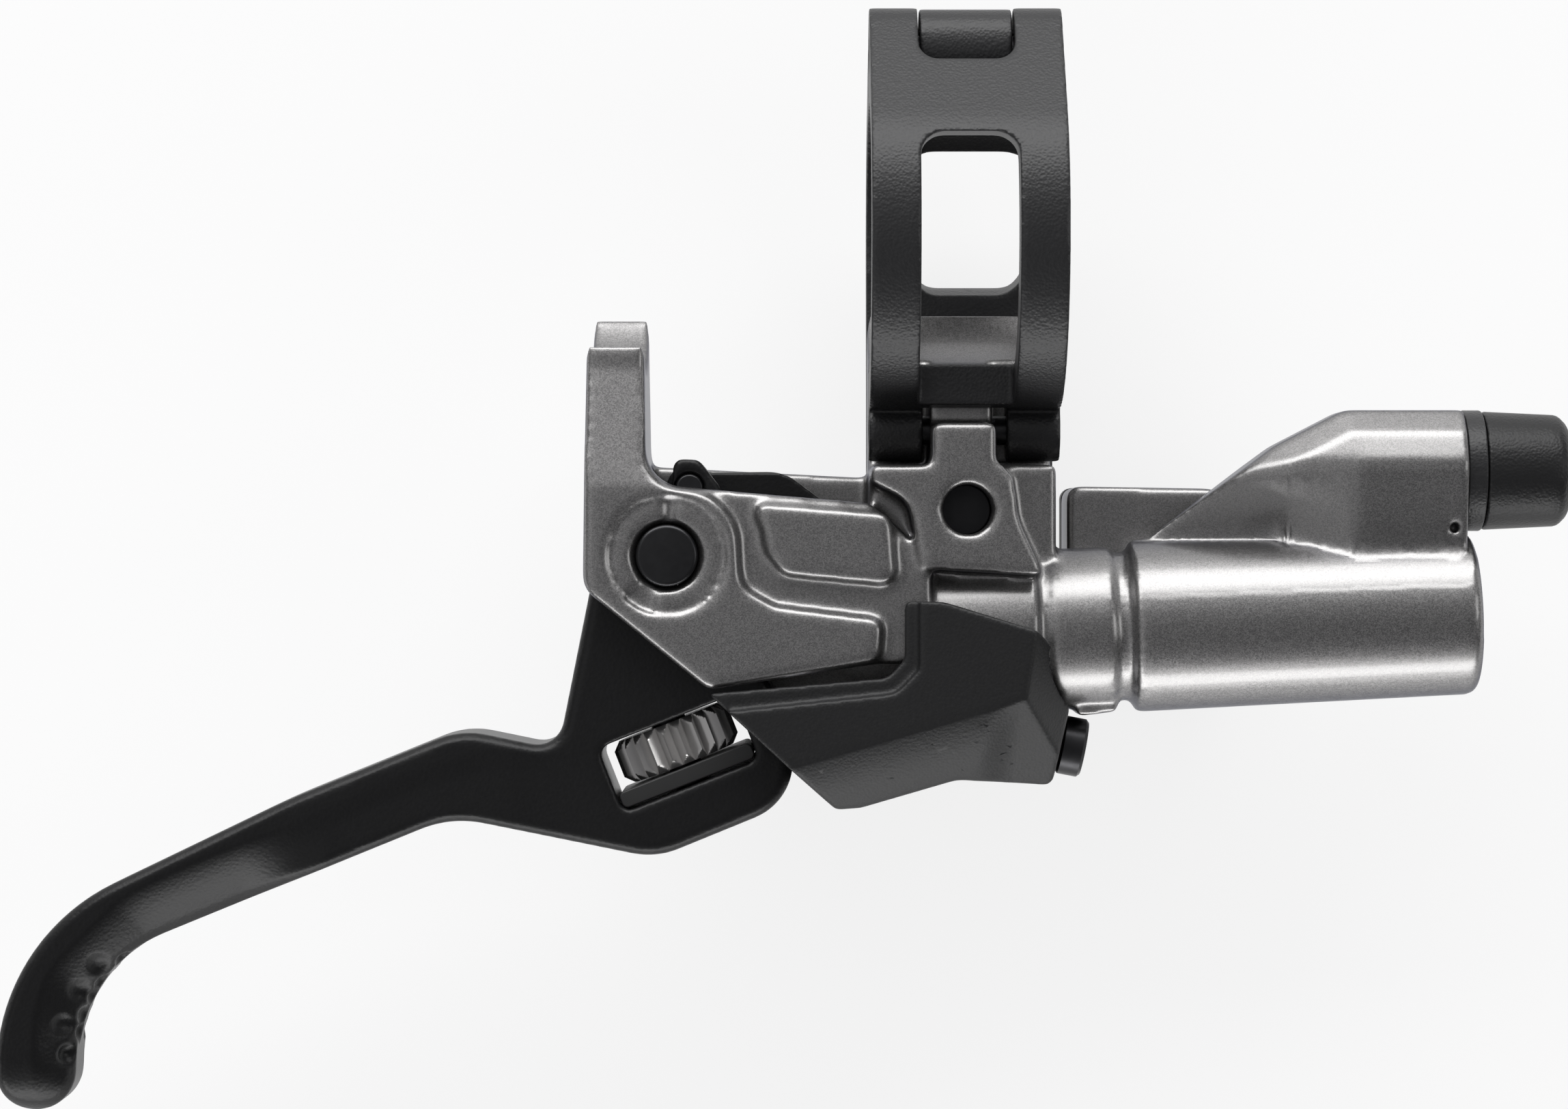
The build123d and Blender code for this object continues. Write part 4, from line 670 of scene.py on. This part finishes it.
# The room's colour follows the angle from its dimmest direction, and its strength falls towards both
# ends of the bar.
room = bpy.data.worlds.new("studio_room")
room.use_nodes = True
bpy.context.scene.world = room
walls = room.node_tree.nodes["Background"]
facing = room.node_tree.nodes.new("ShaderNodeTexCoord")
sides = room.node_tree.nodes.new("ShaderNodeSeparateXYZ")
above = room.node_tree.nodes.new("ShaderNodeVectorMath")
above.operation = "DOT_PRODUCT"
above.inputs[1].default_value = (0.50, -0.28, 0.82)
shade = room.node_tree.nodes.new("ShaderNodeValToRGB")
shade.color_ramp.interpolation = "EASE"
shade.color_ramp.elements[0].position = 0.35
shade.color_ramp.elements[0].color = (0.62, 0.62, 0.63, 1)
shade.color_ramp.elements[1].position = 1.0
shade.color_ramp.elements[1].color = (0.13, 0.13, 0.135, 1)
room.node_tree.links.new(facing.outputs["Generated"], sides.inputs["Vector"])
room.node_tree.links.new(facing.outputs["Generated"], above.inputs[0])
room.node_tree.links.new(above.outputs["Value"], shade.inputs["Fac"])
sideways = room.node_tree.nodes.new("ShaderNodeMath")
sideways.operation = "ABSOLUTE"
dimmed = room.node_tree.nodes.new("ShaderNodeMapRange")
dimmed.inputs["From Min"].default_value = 0.35
dimmed.inputs["From Max"].default_value = 0.95
dimmed.inputs["To Min"].default_value = 1.0
dimmed.inputs["To Max"].default_value = 0.35
room.node_tree.links.new(sides.outputs["X"], sideways.inputs[0])
room.node_tree.links.new(sideways.outputs[0], dimmed.inputs["Value"])
room.node_tree.links.new(dimmed.outputs["Result"], walls.inputs["Strength"])
room.node_tree.links.new(shade.outputs["Color"], walls.inputs["Color"])


def soft_lamp(name, place, width, depth, watts):
    """Rectangular soft lamp at a place, turned towards the middle of the part."""
    panel = bpy.data.lights.new(name, "AREA")
    panel.shape = "RECTANGLE"
    panel.size = width
    panel.size_y = depth
    panel.energy = watts
    holder = bpy.data.objects.new(name, panel)
    holder.location = place
    towards = Vector((-0.015, -0.027, 0.0)) - Vector(place)
    holder.rotation_euler = towards.to_track_quat("-Z", "Y").to_euler()
    bpy.context.collection.objects.link(holder)


soft_lamp("rider_side_lamp", (-0.08, 0.53, 0.27), 0.9, 0.40, 5.0)
soft_lamp("blade_side_lamp", (-0.05, -0.60, 0.11), 0.9, 0.20, 2.8)
soft_lamp("right_lamp", (0.60, 0.05, 0.45), 0.3, 0.3, 0.6)

# Camera: it looks straight down on the clamp's front band, from as far as the photograph's own camera
# and with its angle of view.
camera_data = bpy.data.cameras.new("camera")
camera_data.lens = 101.8
camera_data.sensor_width = 36.0
camera_data.clip_start = 0.01
camera = bpy.data.objects.new("camera", camera_data)
camera.location = (-15.09 * mm, -26.51 * mm, 371 * mm)
bpy.context.collection.objects.link(camera)
bpy.context.scene.camera = camera
bpy.context.scene.view_settings.view_transform = "Standard"
